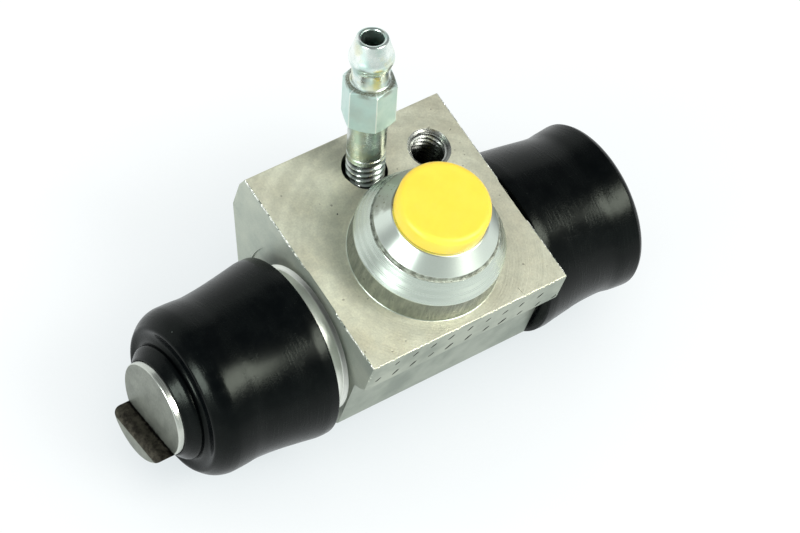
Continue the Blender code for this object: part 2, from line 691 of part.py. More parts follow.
def makePlug(material):
    seat = BOSS_HEIGHT + SEAT_CLEARANCE
    top = seat + PLUG_HEAD_HEIGHT
    stem = PORT_RADIUS - SEAT_CLEARANCE
    foot = seat - PLUG_STEM_LENGTH
    profile = [
        (0.0, top),
        (PLUG_HEAD_RADIUS - PLUG_EDGE, top),
        (PLUG_HEAD_RADIUS - 0.3 * PLUG_EDGE, top - 0.3 * PLUG_EDGE),
        (PLUG_HEAD_RADIUS, top - PLUG_EDGE),
        (PLUG_HEAD_RADIUS, seat),
        (stem, seat),
        (stem, foot + 2 * PLUG_EDGE),
        (stem - PLUG_EDGE, foot),
        (0.0, foot),
    ]
    plug = turn("port_plug", profile, SMALL_STEPS, parts, material, plugAxis)
    smoothRound(plug)
    return plug


clearScene()
parts = newCollection(NAME)
cutters = newCollection(NAME + "_cutters")

turnToX = {side: (0.0, sign * math.pi / 2, 0.0) for side, sign in SIDES.items()}
boreAxis = {side: newEmpty(f"{side}_bore_axis", BORE_CENTRE, turnToX[side]) for side in SIDES}
pistonAxis = {side: newEmpty(f"{side}_piston_axis", BORE_CENTRE, turnToX[side]) for side in SIDES}
bleedAxis = newEmpty("bleed_axis", (0.0, BLEED_Y, 0.0), (-BLEED_TILT, 0.0, 0.0))
plugAxis = newEmpty("plug_axis", (0.0, 0.0, 0.0))

castAluminium = newMaterial("housing", (0.55, 0.53, 0.48), 0.45, 1.0)
pistonMetal = newMaterial("piston", (0.36, 0.36, 0.34), 0.4, 1.0)
bootRubber = newMaterial("boot_rubber", (0.012, 0.014, 0.014), 0.45, 0.0)
sealRubber = newMaterial("seal_rubber", (0.02, 0.02, 0.02), 0.5, 0.0)
springWire = newMaterial("spring_wire", (0.45, 0.45, 0.46), 0.35, 1.0)
platedSteel = newMaterial("bleed_screw", (0.62, 0.65, 0.6), 0.3, 1.0)
plugPlastic = newMaterial("port_plug", (0.95, 0.8, 0.05), 0.45, 0.0)

makeHousing(castAluminium)
for sideName, seatReach in PISTON_SEAT.items():
    makePiston(sideName, seatReach, pistonMetal)
    makeSeal(sideName, seatReach, sealRubber)
    makeBoot(sideName, seatReach, bootRubber)
makeSpring(PISTON_SEAT["left"], PISTON_SEAT["right"], springWire)
makeBleedScrew(platedSteel)
makePlug(plugPlastic)
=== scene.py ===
import math
import random

import bmesh
import bpy
from mathutils import Matrix, Vector, noise


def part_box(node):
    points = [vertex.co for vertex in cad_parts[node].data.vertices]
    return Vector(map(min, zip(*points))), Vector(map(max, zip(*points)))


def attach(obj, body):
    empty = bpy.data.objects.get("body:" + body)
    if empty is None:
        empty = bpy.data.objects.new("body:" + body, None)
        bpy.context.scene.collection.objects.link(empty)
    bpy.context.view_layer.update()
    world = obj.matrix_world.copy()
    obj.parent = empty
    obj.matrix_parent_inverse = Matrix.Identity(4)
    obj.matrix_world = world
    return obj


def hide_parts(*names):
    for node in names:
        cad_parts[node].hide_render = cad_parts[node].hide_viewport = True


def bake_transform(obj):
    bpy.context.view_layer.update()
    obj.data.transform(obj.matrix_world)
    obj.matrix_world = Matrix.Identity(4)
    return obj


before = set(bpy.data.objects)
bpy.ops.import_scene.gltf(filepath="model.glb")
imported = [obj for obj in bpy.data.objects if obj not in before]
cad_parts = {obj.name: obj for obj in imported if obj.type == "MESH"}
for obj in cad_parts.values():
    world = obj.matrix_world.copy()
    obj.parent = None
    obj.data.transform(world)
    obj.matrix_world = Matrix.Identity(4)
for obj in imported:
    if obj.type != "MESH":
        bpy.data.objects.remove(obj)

mm = 0.001
scene = bpy.context.scene
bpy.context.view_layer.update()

# places taken from the frame
rimLow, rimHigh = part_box("left_boot")
boreCentre = Vector((0.0, (rimLow.y + rimHigh.y) / 2, (rimLow.z + rimHigh.z) / 2))
pistonEnd = {"left": -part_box("left_piston")[0].x, "right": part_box("right_piston")[1].x}
bootEnd = {side: pistonEnd[side] - 5.2 * mm for side in ("left", "right")}
bootStart = {"left": -rimHigh.x, "right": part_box("right_boot")[0].x}
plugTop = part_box("port_plug")[1].z
sideSign = {"left": -1, "right": 1}


# small helpers


def newObject(name, verts, faces):
    mesh = bpy.data.meshes.new(name)
    mesh.from_pydata(verts, [], faces)
    obj = bpy.data.objects.new(name, mesh)
    scene.collection.objects.link(obj)
    return obj


def fixNormals(obj):
    shape = bmesh.new()
    shape.from_mesh(obj.data)
    bmesh.ops.recalc_face_normals(shape, faces=shape.faces)
    shape.to_mesh(obj.data)
    shape.free()


def skin(name, rings, steps, loop=False, turned=0.0):
    # rings of (radius, height) run down the outer side; a radius may depend on the angle
    verts, rows = [], []
    for radius, height in rings:
        row = []
        flat = not callable(radius)
        if flat and radius == 0.0:
            row.append(len(verts))
            verts.append((0.0, 0.0, height))
        else:
            for i in range(steps):
                angle = turned + 2 * math.pi * i / steps
                r = radius if flat else radius(angle)
                row.append(len(verts))
                verts.append((r * math.cos(angle), r * math.sin(angle), height))
        rows.append(row)
    pairs = list(zip(rows, rows[1:]))
    if loop:
        pairs.append((rows[-1], rows[0]))
    faces = []
    for upper, lower in pairs:
        for i in range(steps):
            j = (i + 1) % steps
            if len(upper) == 1:
                faces.append((upper[0], lower[i], lower[j]))
            elif len(lower) == 1:
                faces.append((upper[i], lower[0], upper[j]))
            else:
                faces.append((upper[i], lower[i], lower[j], upper[j]))
    return newObject(name, verts, faces)


def through(points, steps, ends=False):
    # Catmull-Rom curve through points
    path = []
    padded = [points[0]] + list(points) + [points[-1]]
    for i in range(1, len(padded) - 2):
        a, b, c, d = (Vector(p) for p in padded[i - 1:i + 3])
        for k in range(steps):
            t = k / steps
            path.append(tuple(0.5 * ((2 * b) + (c - a) * t + (2 * a - 5 * b + 4 * c - d) * t**2
                                     + (3 * b - a - 3 * c + d) * t**3)))
    path.append(tuple(points[-1]))
    return path


def roundCorner(previous, corner, following, size, steps=4):
    # points of a small round that replaces a corner of a profile
    corner = Vector(corner)
    start = corner + (Vector(previous) - corner).normalized() * size
    end = corner + (Vector(following) - corner).normalized() * size
    points = []
    for k in range(steps + 1):
        t = k / steps
        points.append(tuple(start * (1 - t)**2 + corner * 2 * t * (1 - t) + end * t**2))
    return points


def eased(profile, size, steps=3):
    # a profile of (radius, height) with every inner corner rounded
    points = [profile[0]]
    for i in range(1, len(profile) - 1):
        here = Vector(profile[i])
        room = min((Vector(profile[i - 1]) - here).length, (Vector(profile[i + 1]) - here).length) * 0.45
        points += roundCorner(profile[i - 1], profile[i], profile[i + 1], min(size, room), steps)
    points.append(profile[-1])
    return points


def applyModifiers(obj):
    graph = bpy.context.evaluated_depsgraph_get()
    mesh = bpy.data.meshes.new_from_object(obj.evaluated_get(graph))
    obj.modifiers.clear()
    obj.data = mesh


def cut(target, tool, operation="DIFFERENCE"):
    # boolean with a closed tool, applied at once; the tool is then removed
    step = target.modifiers.new("cut", "BOOLEAN")
    step.operation = operation
    step.solver = "EXACT"
    step.object = tool
    applyModifiers(target)
    bpy.data.objects.remove(tool, do_unlink=True)


def flattenPlanes(mesh, smallest):
    # faces that lie flat in a plane keep their own normals, apart from those of round forms
    shape = bmesh.new()
    shape.from_mesh(mesh)
    for face in shape.faces:
        bends = [e.calc_face_angle(0.0) for e in face.edges if len(e.link_faces) == 2
                 and e.calc_length() > 0.3 * math.sqrt(face.calc_area())]
        rounded = any(math.radians(0.3) < bend < math.radians(13) for bend in bends)
        face.smooth = rounded or face.calc_area() < smallest * mm * mm
    shape.to_mesh(mesh)
    shape.free()


def shade(obj, angle=30.0, weighted=True, planes=0.0):
    obj.data.shade_smooth()
    obj.data.set_sharp_from_angle(angle=math.radians(angle))
    if planes:
        flattenPlanes(obj.data, planes)
    if weighted:
        step = obj.modifiers.new("normals", "WEIGHTED_NORMAL")
        step.keep_sharp = True
        step.weight = 80


def alongBore(side):
    # local Z runs out of the bore on that side
    return Matrix.Translation(boreCentre) @ Matrix.Rotation(sideSign[side] * math.pi / 2, 4, "Y")


# node helpers


def feed(tree, made, inputs):
    # a socket is linked, a plain value is set
    for socket, value in inputs.items():
        if isinstance(value, bpy.types.NodeSocket):
            tree.links.new(value, made.inputs[socket])
        else:
            made.inputs[socket].default_value = value


def put(tree, kind, inputs=None, **settings):
    made = tree.nodes.new("ShaderNode" + kind)
    for name, value in settings.items():
        setattr(made, name, value)
    feed(tree, made, inputs or {})
    return made


def newGroup(name, inputs, outputs):
    tree = bpy.data.node_groups.new(name, "ShaderNodeTree")
    for label, kind, value in inputs:
        socket = tree.interface.new_socket(label, in_out="INPUT", socket_type=kind)
        if value is not None:
            socket.default_value = value
    for label, kind in outputs:
        tree.interface.new_socket(label, in_out="OUTPUT", socket_type=kind)
    start = tree.nodes.new("NodeGroupInput")
    end = tree.nodes.new("NodeGroupOutput")
    return tree, start.outputs, end.inputs


def use(tree, group, inputs):
    made = tree.nodes.new("ShaderNodeGroup")
    made.node_tree = group
    feed(tree, made, inputs)
    return made.outputs


def number(tree, operation, first, second):
    return put(tree, "Math", {0: first, 1: second}, operation=operation).outputs[0]


def plus(tree, first, second):
    return number(tree, "ADD", first, second)


def minus(tree, first, second):
    return number(tree, "SUBTRACT", first, second)


def times(tree, first, second):
    return number(tree, "MULTIPLY", first, second)


def along(tree, vector, direction):
    return put(tree, "VectorMath", {0: vector, 1: direction}, operation="DOT_PRODUCT").outputs["Value"]


def aboutZ(tree, parts):
    # the vector square to the Z axis, and its length
    spoke = put(tree, "CombineXYZ", {"X": parts["X"], "Y": parts["Y"]}).outputs[0]
    return spoke, put(tree, "VectorMath", {0: spoke}, operation="LENGTH").outputs["Value"]


def ramp(tree, value, low, high, newLow=0.0, newHigh=1.0):
    return put(tree, "MapRange", {"Value": value, "From Min": low, "From Max": high, "To Min": newLow,
                                  "To Max": newHigh}, interpolation_type="SMOOTHSTEP").outputs[0]


def mixColour(tree, factor, first, second):
    first, second = ((*value, 1.0) if isinstance(value, tuple) else value for value in (first, second))
    return put(tree, "Mix", {0: factor, 6: first, 7: second}, data_type="RGBA").outputs[2]


def tinted(tree, mask, share, first, second):
    # the second colour shows through where the mask is high, by this share at most
    return mixColour(tree, times(tree, mask, share), first, second)


# effects that several materials share


def makeBlotchGroup():
    # broad uneven patches and fine grain, both 0 to 1
    tree, given, out = newGroup("blotches", [("Vector", "NodeSocketVector", None),
                                             ("Patch Size", "NodeSocketFloat", 0.004),
                                             ("Grain Size", "NodeSocketFloat", 0.0003)],
                                [("Patch", "NodeSocketFloat"), ("Grain", "NodeSocketFloat")])
    for socket, size, detail in (("Patch", "Patch Size", 4.0), ("Grain", "Grain Size", 3.0)):
        scale = number(tree, "DIVIDE", 1.0, given[size])
        made = put(tree, "TexNoise", {"Vector": given["Vector"], "Scale": scale, "Detail": detail,
                                      "Roughness": 0.6})
        tree.links.new(ramp(tree, made.outputs["Fac"], 0.3, 0.7), out[socket])
    return tree


def makeSpeckGroup():
    # scattered small marks of uneven size, 1 inside a mark
    tree, given, out = newGroup("specks", [("Vector", "NodeSocketVector", None),
                                           ("Spacing", "NodeSocketFloat", 0.002),
                                           ("Size", "NodeSocketFloat", 0.15),
                                           ("Share", "NodeSocketFloat", 0.4)],
                                [("Mask", "NodeSocketFloat")])
    scale = number(tree, "DIVIDE", 1.0, given["Spacing"])
    wobble = put(tree, "TexNoise", {"Vector": given["Vector"], "Scale": times(tree, scale, 4.0)})
    bent = put(tree, "VectorMath", {0: given["Vector"], 1: put(
        tree, "VectorMath", {0: wobble.outputs["Color"], "Scale": times(tree, given["Spacing"], 0.2)},
        operation="SCALE").outputs[0]}, operation="ADD").outputs[0]
    cells = put(tree, "TexVoronoi", {"Vector": bent, "Scale": scale})
    chance = put(tree, "TexWhiteNoise", {"Vector": cells.outputs["Position"]},
                 noise_dimensions="3D").outputs["Value"]
    size = times(tree, given["Size"], plus(tree, chance, 0.3))
    inside = put(tree, "MapRange", {"Value": cells.outputs["Distance"], "From Min": size,
                                    "From Max": times(tree, size, 0.55), "To Min": 0.0, "To Max": 1.0})
    chosen = number(tree, "LESS_THAN", put(tree, "TexWhiteNoise", {"Vector": put(
        tree, "VectorMath", {0: cells.outputs["Position"], 1: (3.1, 1.7, 2.3)},
        operation="ADD").outputs[0]}, noise_dimensions="3D").outputs["Value"], given["Share"])
    tree.links.new(times(tree, inside.outputs[0], chosen), out["Mask"])
    return tree


def makeTurnedGroup():
    # uneven rings left by a lathe or facing tool about local Z
    tree, given, out = newGroup("turnedRings", [("Vector", "NodeSocketVector", None),
                                                ("Pitch", "NodeSocketFloat", 0.0002),
                                                ("Wander", "NodeSocketFloat", 0.3)],
                                [("Rings", "NodeSocketFloat"), ("Broad", "NodeSocketFloat")])
    parts = put(tree, "SeparateXYZ", {"Vector": given["Vector"]}).outputs
    radius = aboutZ(tree, parts)[1]
    run = plus(tree, radius, times(tree, parts["Z"], 0.8))
    drift = put(tree, "TexNoise", {"Vector": given["Vector"], "Scale": 160.0}).outputs["Fac"]
    place = plus(tree, number(tree, "DIVIDE", run, given["Pitch"]), times(tree, drift, given["Wander"]))
    fine = put(tree, "TexNoise", {"W": place, "Scale": 1.0, "Detail": 2.0},
               noise_dimensions="1D").outputs["Fac"]
    slow = put(tree, "TexNoise", {"W": times(tree, place, 0.12), "Scale": 1.0, "Detail": 2.0},
               noise_dimensions="1D").outputs["Fac"]
    tree.links.new(ramp(tree, fine, 0.3, 0.7), out["Rings"])
    tree.links.new(ramp(tree, slow, 0.35, 0.65), out["Broad"])
    return tree


def makeStreakGroup():
    # fine drawn lines along local X
    tree, given, out = newGroup("streaks", [("Vector", "NodeSocketVector", None),
                                            ("Width", "NodeSocketFloat", 0.0002),
                                            ("Length", "NodeSocketFloat", 0.01)],
                                [("Lines", "NodeSocketFloat")])
    across = number(tree, "DIVIDE", 1.0, given["Width"])
    lengthwise = number(tree, "DIVIDE", 1.0, given["Length"])
    scale = put(tree, "CombineXYZ", {"X": lengthwise, "Y": across, "Z": across}).outputs[0]
    stretched = put(tree, "VectorMath", {0: given["Vector"], 1: scale}, operation="MULTIPLY").outputs[0]
    lines = put(tree, "TexNoise", {"Vector": stretched, "Scale": 1.0, "Detail": 2.0}).outputs["Fac"]
    tree.links.new(ramp(tree, lines, 0.35, 0.65), out["Lines"])
    return tree


blotchGroup = makeBlotchGroup()
speckGroup = makeSpeckGroup()
turnedGroup = makeTurnedGroup()
streakGroup = makeStreakGroup()


def newSurface(name, metallic, roughness):
    made = bpy.data.materials.new(name)
    made.use_nodes = True
    tree = made.node_tree
    shader = tree.nodes["Principled BSDF"]
    shader.inputs["Metallic"].default_value = metallic
    shader.inputs["Roughness"].default_value = roughness
    place = put(tree, "TexCoord").outputs["Object"]
    return made, tree, shader, place


def finishSurface(tree, shader, colour=None, roughness=None, height=None, depth=0.0):
    if colour is not None:
        tree.links.new(colour, shader.inputs["Base Color"])
    if roughness is not None:
        tree.links.new(roughness, shader.inputs["Roughness"])
    if height is not None:
        bump = put(tree, "Bump", {"Height": height, "Distance": depth, "Strength": 1.0})
        tree.links.new(bump.outputs["Normal"], shader.inputs["Normal"])


print("helpers and effects ready")


# metal finishes of the housing

boltSize = {"x": 10.6, "y": 14.3, "minor": 2.5, "major": 3.02, "pitch": 1.0, "depth": 12.0, "sink": 3.35}
metalLook = {
    "facedWarm": (0.84, 0.825, 0.65),
    "facedCool": (0.80, 0.815, 0.67),
    "facedStain": (0.30, 0.30, 0.23),
    "endLight": (0.46, 0.49, 0.41),
    "endDark": (0.33, 0.37, 0.32),
    "drawnLight": (0.42, 0.455, 0.375),
    "drawnDark": (0.27, 0.305, 0.26),
    "barrelShadedLight": (0.37, 0.405, 0.34),
    "barrelShadedDark": (0.25, 0.285, 0.245),
    "turnedLight": (0.78, 0.85, 0.77),
    "turnedDark": (0.34, 0.40, 0.34),
    "wallLight": (0.25, 0.27, 0.215),
    "wallDark": (0.15, 0.165, 0.135),
    "grooveLight": (0.46, 0.50, 0.43),
    "grooveDark": (0.17, 0.18, 0.145),
    "stained": (0.21, 0.21, 0.155),
    "threadCrest": (0.68, 0.70, 0.66),
    "boreLight": (0.36, 0.37, 0.34),
    "boreShade": (0.022, 0.025, 0.022),
    "edgeLight": (0.93, 0.95, 0.88),
    "markAndShadeLight": (0.10, 0.11, 0.095),
    "markAndShadeDark": (0.03, 0.033, 0.03),
    "pit": (0.13, 0.12, 0.09),
    "wallPit": (0.05, 0.055, 0.045),
}
# where finishes change, as heights, radii or depths in metres, and as directions from an axis
zones = {
    "barrelTop": (-0.0084, -0.0092), "lowerCone": (0.0084, 0.0078), "upperCone": (0.0082, 0.0086),
    "stainToward": (-0.26, 0.965, 0.0), "stainEdge": (0.74, 0.94),
    "threadCrest": (0.0026, 0.00288), "threadMouth": (-0.0005, -0.0002), "threadFade": (-0.0018, -0.0042),
    "litToward": (-0.83, 0.55, 0.0), "boreFade": (0.0004, 0.003),
}


def facedMetal():
    # flat mounting face: milled round the boss, with warm stains and small pits
    made, tree, shader, place = newSurface("facedAluminium", 0.78, 0.52)
    blotch = use(tree, blotchGroup, {"Vector": place, "Patch Size": 0.0065, "Grain Size": 0.00032})
    small = use(tree, blotchGroup, {"Vector": place, "Patch Size": 0.0016, "Grain Size": 0.00012})
    rings = use(tree, turnedGroup, {"Vector": place, "Pitch": 0.00035, "Wander": 1.4})
    pits = use(tree, speckGroup, {"Vector": place, "Spacing": 0.0011, "Size": 0.16, "Share": 0.42})
    colour = mixColour(tree, blotch["Patch"], metalLook["facedWarm"], metalLook["facedCool"])
    smallStain = times(tree, small["Patch"], 0.26)
    colour = mixColour(tree, smallStain, colour, metalLook["facedStain"])
    colour = tinted(tree, rings["Broad"], 0.2, colour, metalLook["facedStain"])
    colour = tinted(tree, blotch["Grain"], 0.20, colour, metalLook["facedStain"])
    colour = tinted(tree, pits["Mask"], 0.55, colour, metalLook["pit"])
    roughness = ramp(tree, blotch["Patch"], 0.0, 1.0, 0.48, 0.58)
    height = plus(tree, times(tree, blotch["Grain"], 0.5), times(tree, rings["Rings"], 0.4))
    height = minus(tree, height, times(tree, pits["Mask"], 1.6))
    finishSurface(tree, shader, colour, roughness, height, 0.000016)
    return made


def endMetal():
    # sawn and spot-faced end, with turning marks about the bore
    made, tree, shader, place = newSurface("spotFacedAluminium", 0.68, 0.46)
    local = put(tree, "Mapping", {"Vector": place, "Location": (boreCentre.z, -boreCentre.y, 0.0),
                                  "Rotation": (0.0, -math.pi / 2, 0.0)}).outputs[0]
    blotch = use(tree, blotchGroup, {"Vector": place, "Patch Size": 0.005, "Grain Size": 0.00025})
    rings = use(tree, turnedGroup, {"Vector": local, "Pitch": 0.0004, "Wander": 1.2})
    lines = use(tree, streakGroup, {"Vector": put(tree, "Mapping", {
        "Vector": place, "Rotation": (0.0, 0.0, math.pi / 2)}).outputs[0], "Width": 0.0007, "Length": 0.02})
    colour = mixColour(tree, blotch["Patch"], metalLook["endLight"], metalLook["endDark"])
    colour = tinted(tree, rings["Broad"], 0.3, colour, metalLook["endDark"])
    colour = tinted(tree, lines["Lines"], 0.2, colour, metalLook["endLight"])
    height = plus(tree, times(tree, blotch["Grain"], 0.4), times(tree, rings["Rings"], 0.6))
    finishSurface(tree, shader, colour, ramp(tree, blotch["Grain"], 0.0, 1.0, 0.36, 0.5), height, 0.00001)
    return made


def drawnMetal():
    # extruded sides with faint die lines along the body; the barrel below is painted darker, as painted shade
    made, tree, shader, place = newSurface("extrudedAluminium", 0.88, 0.46)
    blotch = use(tree, blotchGroup, {"Vector": place, "Patch Size": 0.008, "Grain Size": 0.0003})
    lines = use(tree, streakGroup, {"Vector": place, "Width": 0.00045, "Length": 0.03})
    specks = use(tree, speckGroup, {"Vector": place, "Spacing": 0.002, "Size": 0.12, "Share": 0.3})
    colour = mixColour(tree, blotch["Patch"], metalLook["drawnLight"], metalLook["drawnDark"])
    # the barrel below the strip takes darker colours: painted shade
    shadedBarrel = mixColour(tree, blotch["Patch"], metalLook["barrelShadedLight"], metalLook["barrelShadedDark"])
    height = put(tree, "SeparateXYZ", {"Vector": place}).outputs["Z"]
    colour = mixColour(tree, ramp(tree, height, *zones["barrelTop"]), colour, shadedBarrel)
    colour = tinted(tree, lines["Lines"], 0.16, colour, metalLook["drawnDark"])
    colour = tinted(tree, specks["Mask"], 0.4, colour, metalLook["facedStain"])
    height = plus(tree, times(tree, blotch["Grain"], 0.4), times(tree, lines["Lines"], 0.4))
    finishSurface(tree, shader, colour, ramp(tree, blotch["Patch"], 0.0, 1.0, 0.4, 0.52), height, 0.000012)
    return made


def turnedMetal(name, aroundBore):
    # bright turned cones, with highlights that fan out across the tool marks; the boss's lower one is darker
    # in colour
    made, tree, shader, place = newSurface(name, 1.0, 0.27)
    local = place
    if aroundBore:
        local = put(tree, "Mapping", {"Vector": place, "Location": (boreCentre.z, -boreCentre.y, 0.0),
                                      "Rotation": (0.0, -math.pi / 2, 0.0)}).outputs[0]
    rings = use(tree, turnedGroup, {"Vector": local, "Pitch": 0.00022, "Wander": 0.08})
    blotch = use(tree, blotchGroup, {"Vector": place, "Patch Size": 0.0025, "Grain Size": 0.0002})
    light = metalLook["edgeLight" if aroundBore else "turnedLight"]
    colour = tinted(tree, rings["Broad"], 0.16, light, metalLook["turnedDark"])
    colour = tinted(tree, blotch["Grain"], 0.08, colour, metalLook["turnedDark"])
    roughness = ramp(tree, rings["Rings"], 0.0, 1.0, *((0.34, 0.5) if aroundBore else (0.22, 0.34)))
    if not aroundBore:
        parts = put(tree, "SeparateXYZ", {"Vector": place}).outputs
        # darker colour on the boss's lower cone
        colour = mixColour(tree, ramp(tree, parts["Z"], *zones["lowerCone"], 0.0, 0.42), colour,
                           metalLook["turnedDark"])
        # a rough stained patch that the tool left on the upper cone
        spoke, radius = aboutZ(tree, parts)
        side = number(tree, "DIVIDE", along(tree, spoke, zones["stainToward"]), radius)
        side = plus(tree, side, times(tree, blotch["Patch"], 0.14))
        stain = times(tree, ramp(tree, side, *zones["stainEdge"]),
                      ramp(tree, parts["Z"], *zones["upperCone"]))
        specks = use(tree, speckGroup, {"Vector": place, "Spacing": 0.0006, "Size": 0.3, "Share": 0.55})
        rough = times(tree, stain, plus(tree, times(tree, specks["Mask"], 0.3), 0.7))
        colour = mixColour(tree, rough, colour, metalLook["stained"])
        roughness = plus(tree, roughness, times(tree, stain, 0.18))
    finishSurface(tree, shader, colour, roughness, rings["Rings"], 0.0000028)
    tangent = put(tree, "Tangent", direction_type="RADIAL", axis="X" if aroundBore else "Z")
    shader.inputs["Anisotropic"].default_value = 0.3 if aroundBore else 0.75
    shader.inputs["Anisotropic Rotation"].default_value = 0.25
    tree.links.new(tangent.outputs[0], shader.inputs["Tangent"])
    return made


def wallMetal(name, light, dark):
    # rough dull wall at the foot of the boss and the groove between its cones, streaked up and down
    made, tree, shader, place = newSurface(name, 0.8, 0.5)
    tall = put(tree, "Mapping", {"Vector": place, "Scale": (1.0, 1.0, 0.22)}).outputs[0]
    blotch = use(tree, blotchGroup, {"Vector": tall, "Patch Size": 0.0008, "Grain Size": 0.00025})
    specks = use(tree, speckGroup, {"Vector": place, "Spacing": 0.0007, "Size": 0.25, "Share": 0.5})
    colour = mixColour(tree, blotch["Patch"], metalLook[light], metalLook[dark])
    colour = tinted(tree, specks["Mask"], 0.6, colour, metalLook["wallPit"])
    height = minus(tree, blotch["Grain"], specks["Mask"])
    finishSurface(tree, shader, colour, ramp(tree, blotch["Grain"], 0.0, 1.0, 0.42, 0.58), height, 0.00003)
    return made


def markAndShadeMetal():
    # dark bottoms of clamp marks and pits, and the bleed hole's wall: painted shade in these recesses
    made, tree, shader, place = newSurface("pittedAluminiumAndShade", 1.0, 0.6)
    blotch = use(tree, blotchGroup, {"Vector": place, "Patch Size": 0.0005, "Grain Size": 0.0001})
    colour = mixColour(tree, blotch["Patch"], metalLook["markAndShadeLight"], metalLook["markAndShadeDark"])
    finishSurface(tree, shader, colour, ramp(tree, blotch["Grain"], 0.0, 1.0, 0.5, 0.7), blotch["Grain"],
                  0.00002)
    return made


def edgeMetal():
    # broken edges of the body, with bruises that catch the light
    made, tree, shader, place = newSurface("bruisedEdge", 1.0, 0.3)
    blotch = use(tree, blotchGroup, {"Vector": place, "Patch Size": 0.0011, "Grain Size": 0.00035})
    colour = mixColour(tree, ramp(tree, blotch["Patch"], 0.35, 0.75), metalLook["edgeLight"],
                       metalLook["endDark"])
    height = plus(tree, blotch["Patch"], times(tree, blotch["Grain"], 0.4))
    finishSurface(tree, shader, colour, ramp(tree, blotch["Grain"], 0.0, 1.0, 0.26, 0.42), height, 0.00012)
    return made


def threadMetal():
    # cut thread with bright crests, with painted shade in its roots and further down the hole
    made, tree, shader, place = newSurface("cutThread", 1.0, 0.28)
    blotch = use(tree, blotchGroup, {"Vector": place, "Patch Size": 0.001, "Grain Size": 0.0002})
    axis = (-boltSize["x"] * mm, -boltSize["y"] * mm, 0.0)
    parts = put(tree, "SeparateXYZ", {"Vector": put(tree, "Mapping", {
        "Vector": place, "Location": axis}).outputs[0]}).outputs
    spoke, radius = aboutZ(tree, parts)
    leftward = along(tree, spoke, zones["litToward"])
    # painted shade in the thread's roots
    colour = mixColour(tree, ramp(tree, radius, *zones["threadCrest"]), metalLook["threadCrest"],
                       metalLook["boreShade"])
    colour = mixColour(tree, ramp(tree, parts["Z"], *zones["threadMouth"]), colour, metalLook["boreLight"])
    # the painted shade starts deeper on the left side of the hole, where the crests stay lit
    litDepth = plus(tree, parts["Z"], times(tree, leftward, 0.9))
    colour = mixColour(tree, ramp(tree, litDepth, *zones["threadFade"]), colour, metalLook["boreShade"])
    finishSurface(tree, shader, colour, ramp(tree, blotch["Grain"], 0.0, 1.0, 0.22, 0.34), blotch["Grain"],
                  0.000003)
    return made


def boreMetal():
    # bored and drilled holes, dull and dark where the light doesn't reach
    made, tree, shader, place = newSurface("cutAluminium", 1.0, 0.3)
    blotch = use(tree, blotchGroup, {"Vector": place, "Patch Size": 0.001, "Grain Size": 0.0002})
    depth = put(tree, "SeparateXYZ", {"Vector": place}).outputs["Z"]
    # painted shade, darker with depth into the hole
    deep = ramp(tree, times(tree, depth, -1.0), *zones["boreFade"])
    colour = mixColour(tree, deep, metalLook["boreLight"], metalLook["boreShade"])
    finishSurface(tree, shader, colour, ramp(tree, blotch["Grain"], 0.0, 1.0, 0.24, 0.36), blotch["Grain"],
                  0.000003)
    return made


# housing

housingSize = {
    "halfLength": 17.0, "backReach": 21.1, "backInset": 0.7, "backDrop": 2.2, "flankDrop": 7.5,
    "flankLean": 25.8, "frontReach": 14.05, "stripHeight": 6.25, "flankReach": 11.8, "undercut": 2.3,
    "boreDepth": 13.7, "barrelRadius": 13.495, "edge": 0.16, "arcSteps": 40, "steps": 176,
    "spotRadius": 14.2, "spotDepth": 0.25,
}
neckSize = {"radius": 10.9, "root": 0.5, "length": 14.0, "grooveStart": 0.7, "grooveWidth": 2.2,
            "grooveDepth": 1.1, "lipWidth": 1.4, "lipRadius": 10.7, "noseRadius": 10.0, "boreRadius": 7.345,
            "mouth": 0.5}
bossSize = {"radius": 11.2, "wall": 4.5, "ringRadius": 9.45, "ringHeight": 7.9, "groove": 0.35,
            "grooveWidth": 0.6, "topRadius": 7.1, "height": 11.1, "portRadius": 4.5, "portDepth": 10.0,
            "drilling": 1.25, "foot": 0.13}
bleedHole = {"y": 15.5, "tilt": 16.6, "radius": 3.35, "mouth": 3.5, "depth": 12.3, "nose": 1.2,
             "drilling": 0.8}
clampMarks = {"length": 0.8, "width": 0.25, "depth": 0.24, "slant": 43.0, "firstX": -15.2, "pitch": 3.16,
              "lowerCount": 11, "lowerZ": (-4.45, -5.5), "upperFirstX": -12.4, "upperCount": 9,
              "upperZ": (-1.65, -2.65)}
edgeNicks = {"size": (0.10, 0.22), "stretch": 1.5, "spacing": 0.85}


def sectionOutline():
    s = housingSize
    top = s["boreDepth"]
    lean = math.radians(s["flankLean"])
    flankTop = Vector((s["backReach"], top - s["flankDrop"]))
    normal = Vector((math.cos(lean), -math.sin(lean)))
    backX = (flankTop.dot(normal) - s["barrelRadius"]) / normal.x
    footAngle = math.atan2(normal.y, normal.x)
    frontAngle = math.acos(s["flankReach"] / s["barrelRadius"])
    points = [(-s["frontReach"], top - s["stripHeight"]),
              (-s["flankReach"], top - s["stripHeight"] - s["undercut"])]
    for centre, start, end in ((0.0, math.pi + frontAngle, 1.5 * math.pi),
                               (backX, -0.5 * math.pi, footAngle)):
        for i in range(s["arcSteps"] + 1):
            a = start + (end - start) * i / s["arcSteps"]
            points.append((centre + s["barrelRadius"] * math.cos(a), s["barrelRadius"] * math.sin(a)))
    points += [tuple(flankTop), (s["backReach"], top - s["backDrop"]), (s["backReach"] - s["backInset"], top)]
    points.append((-s["frontReach"], top))
    return points


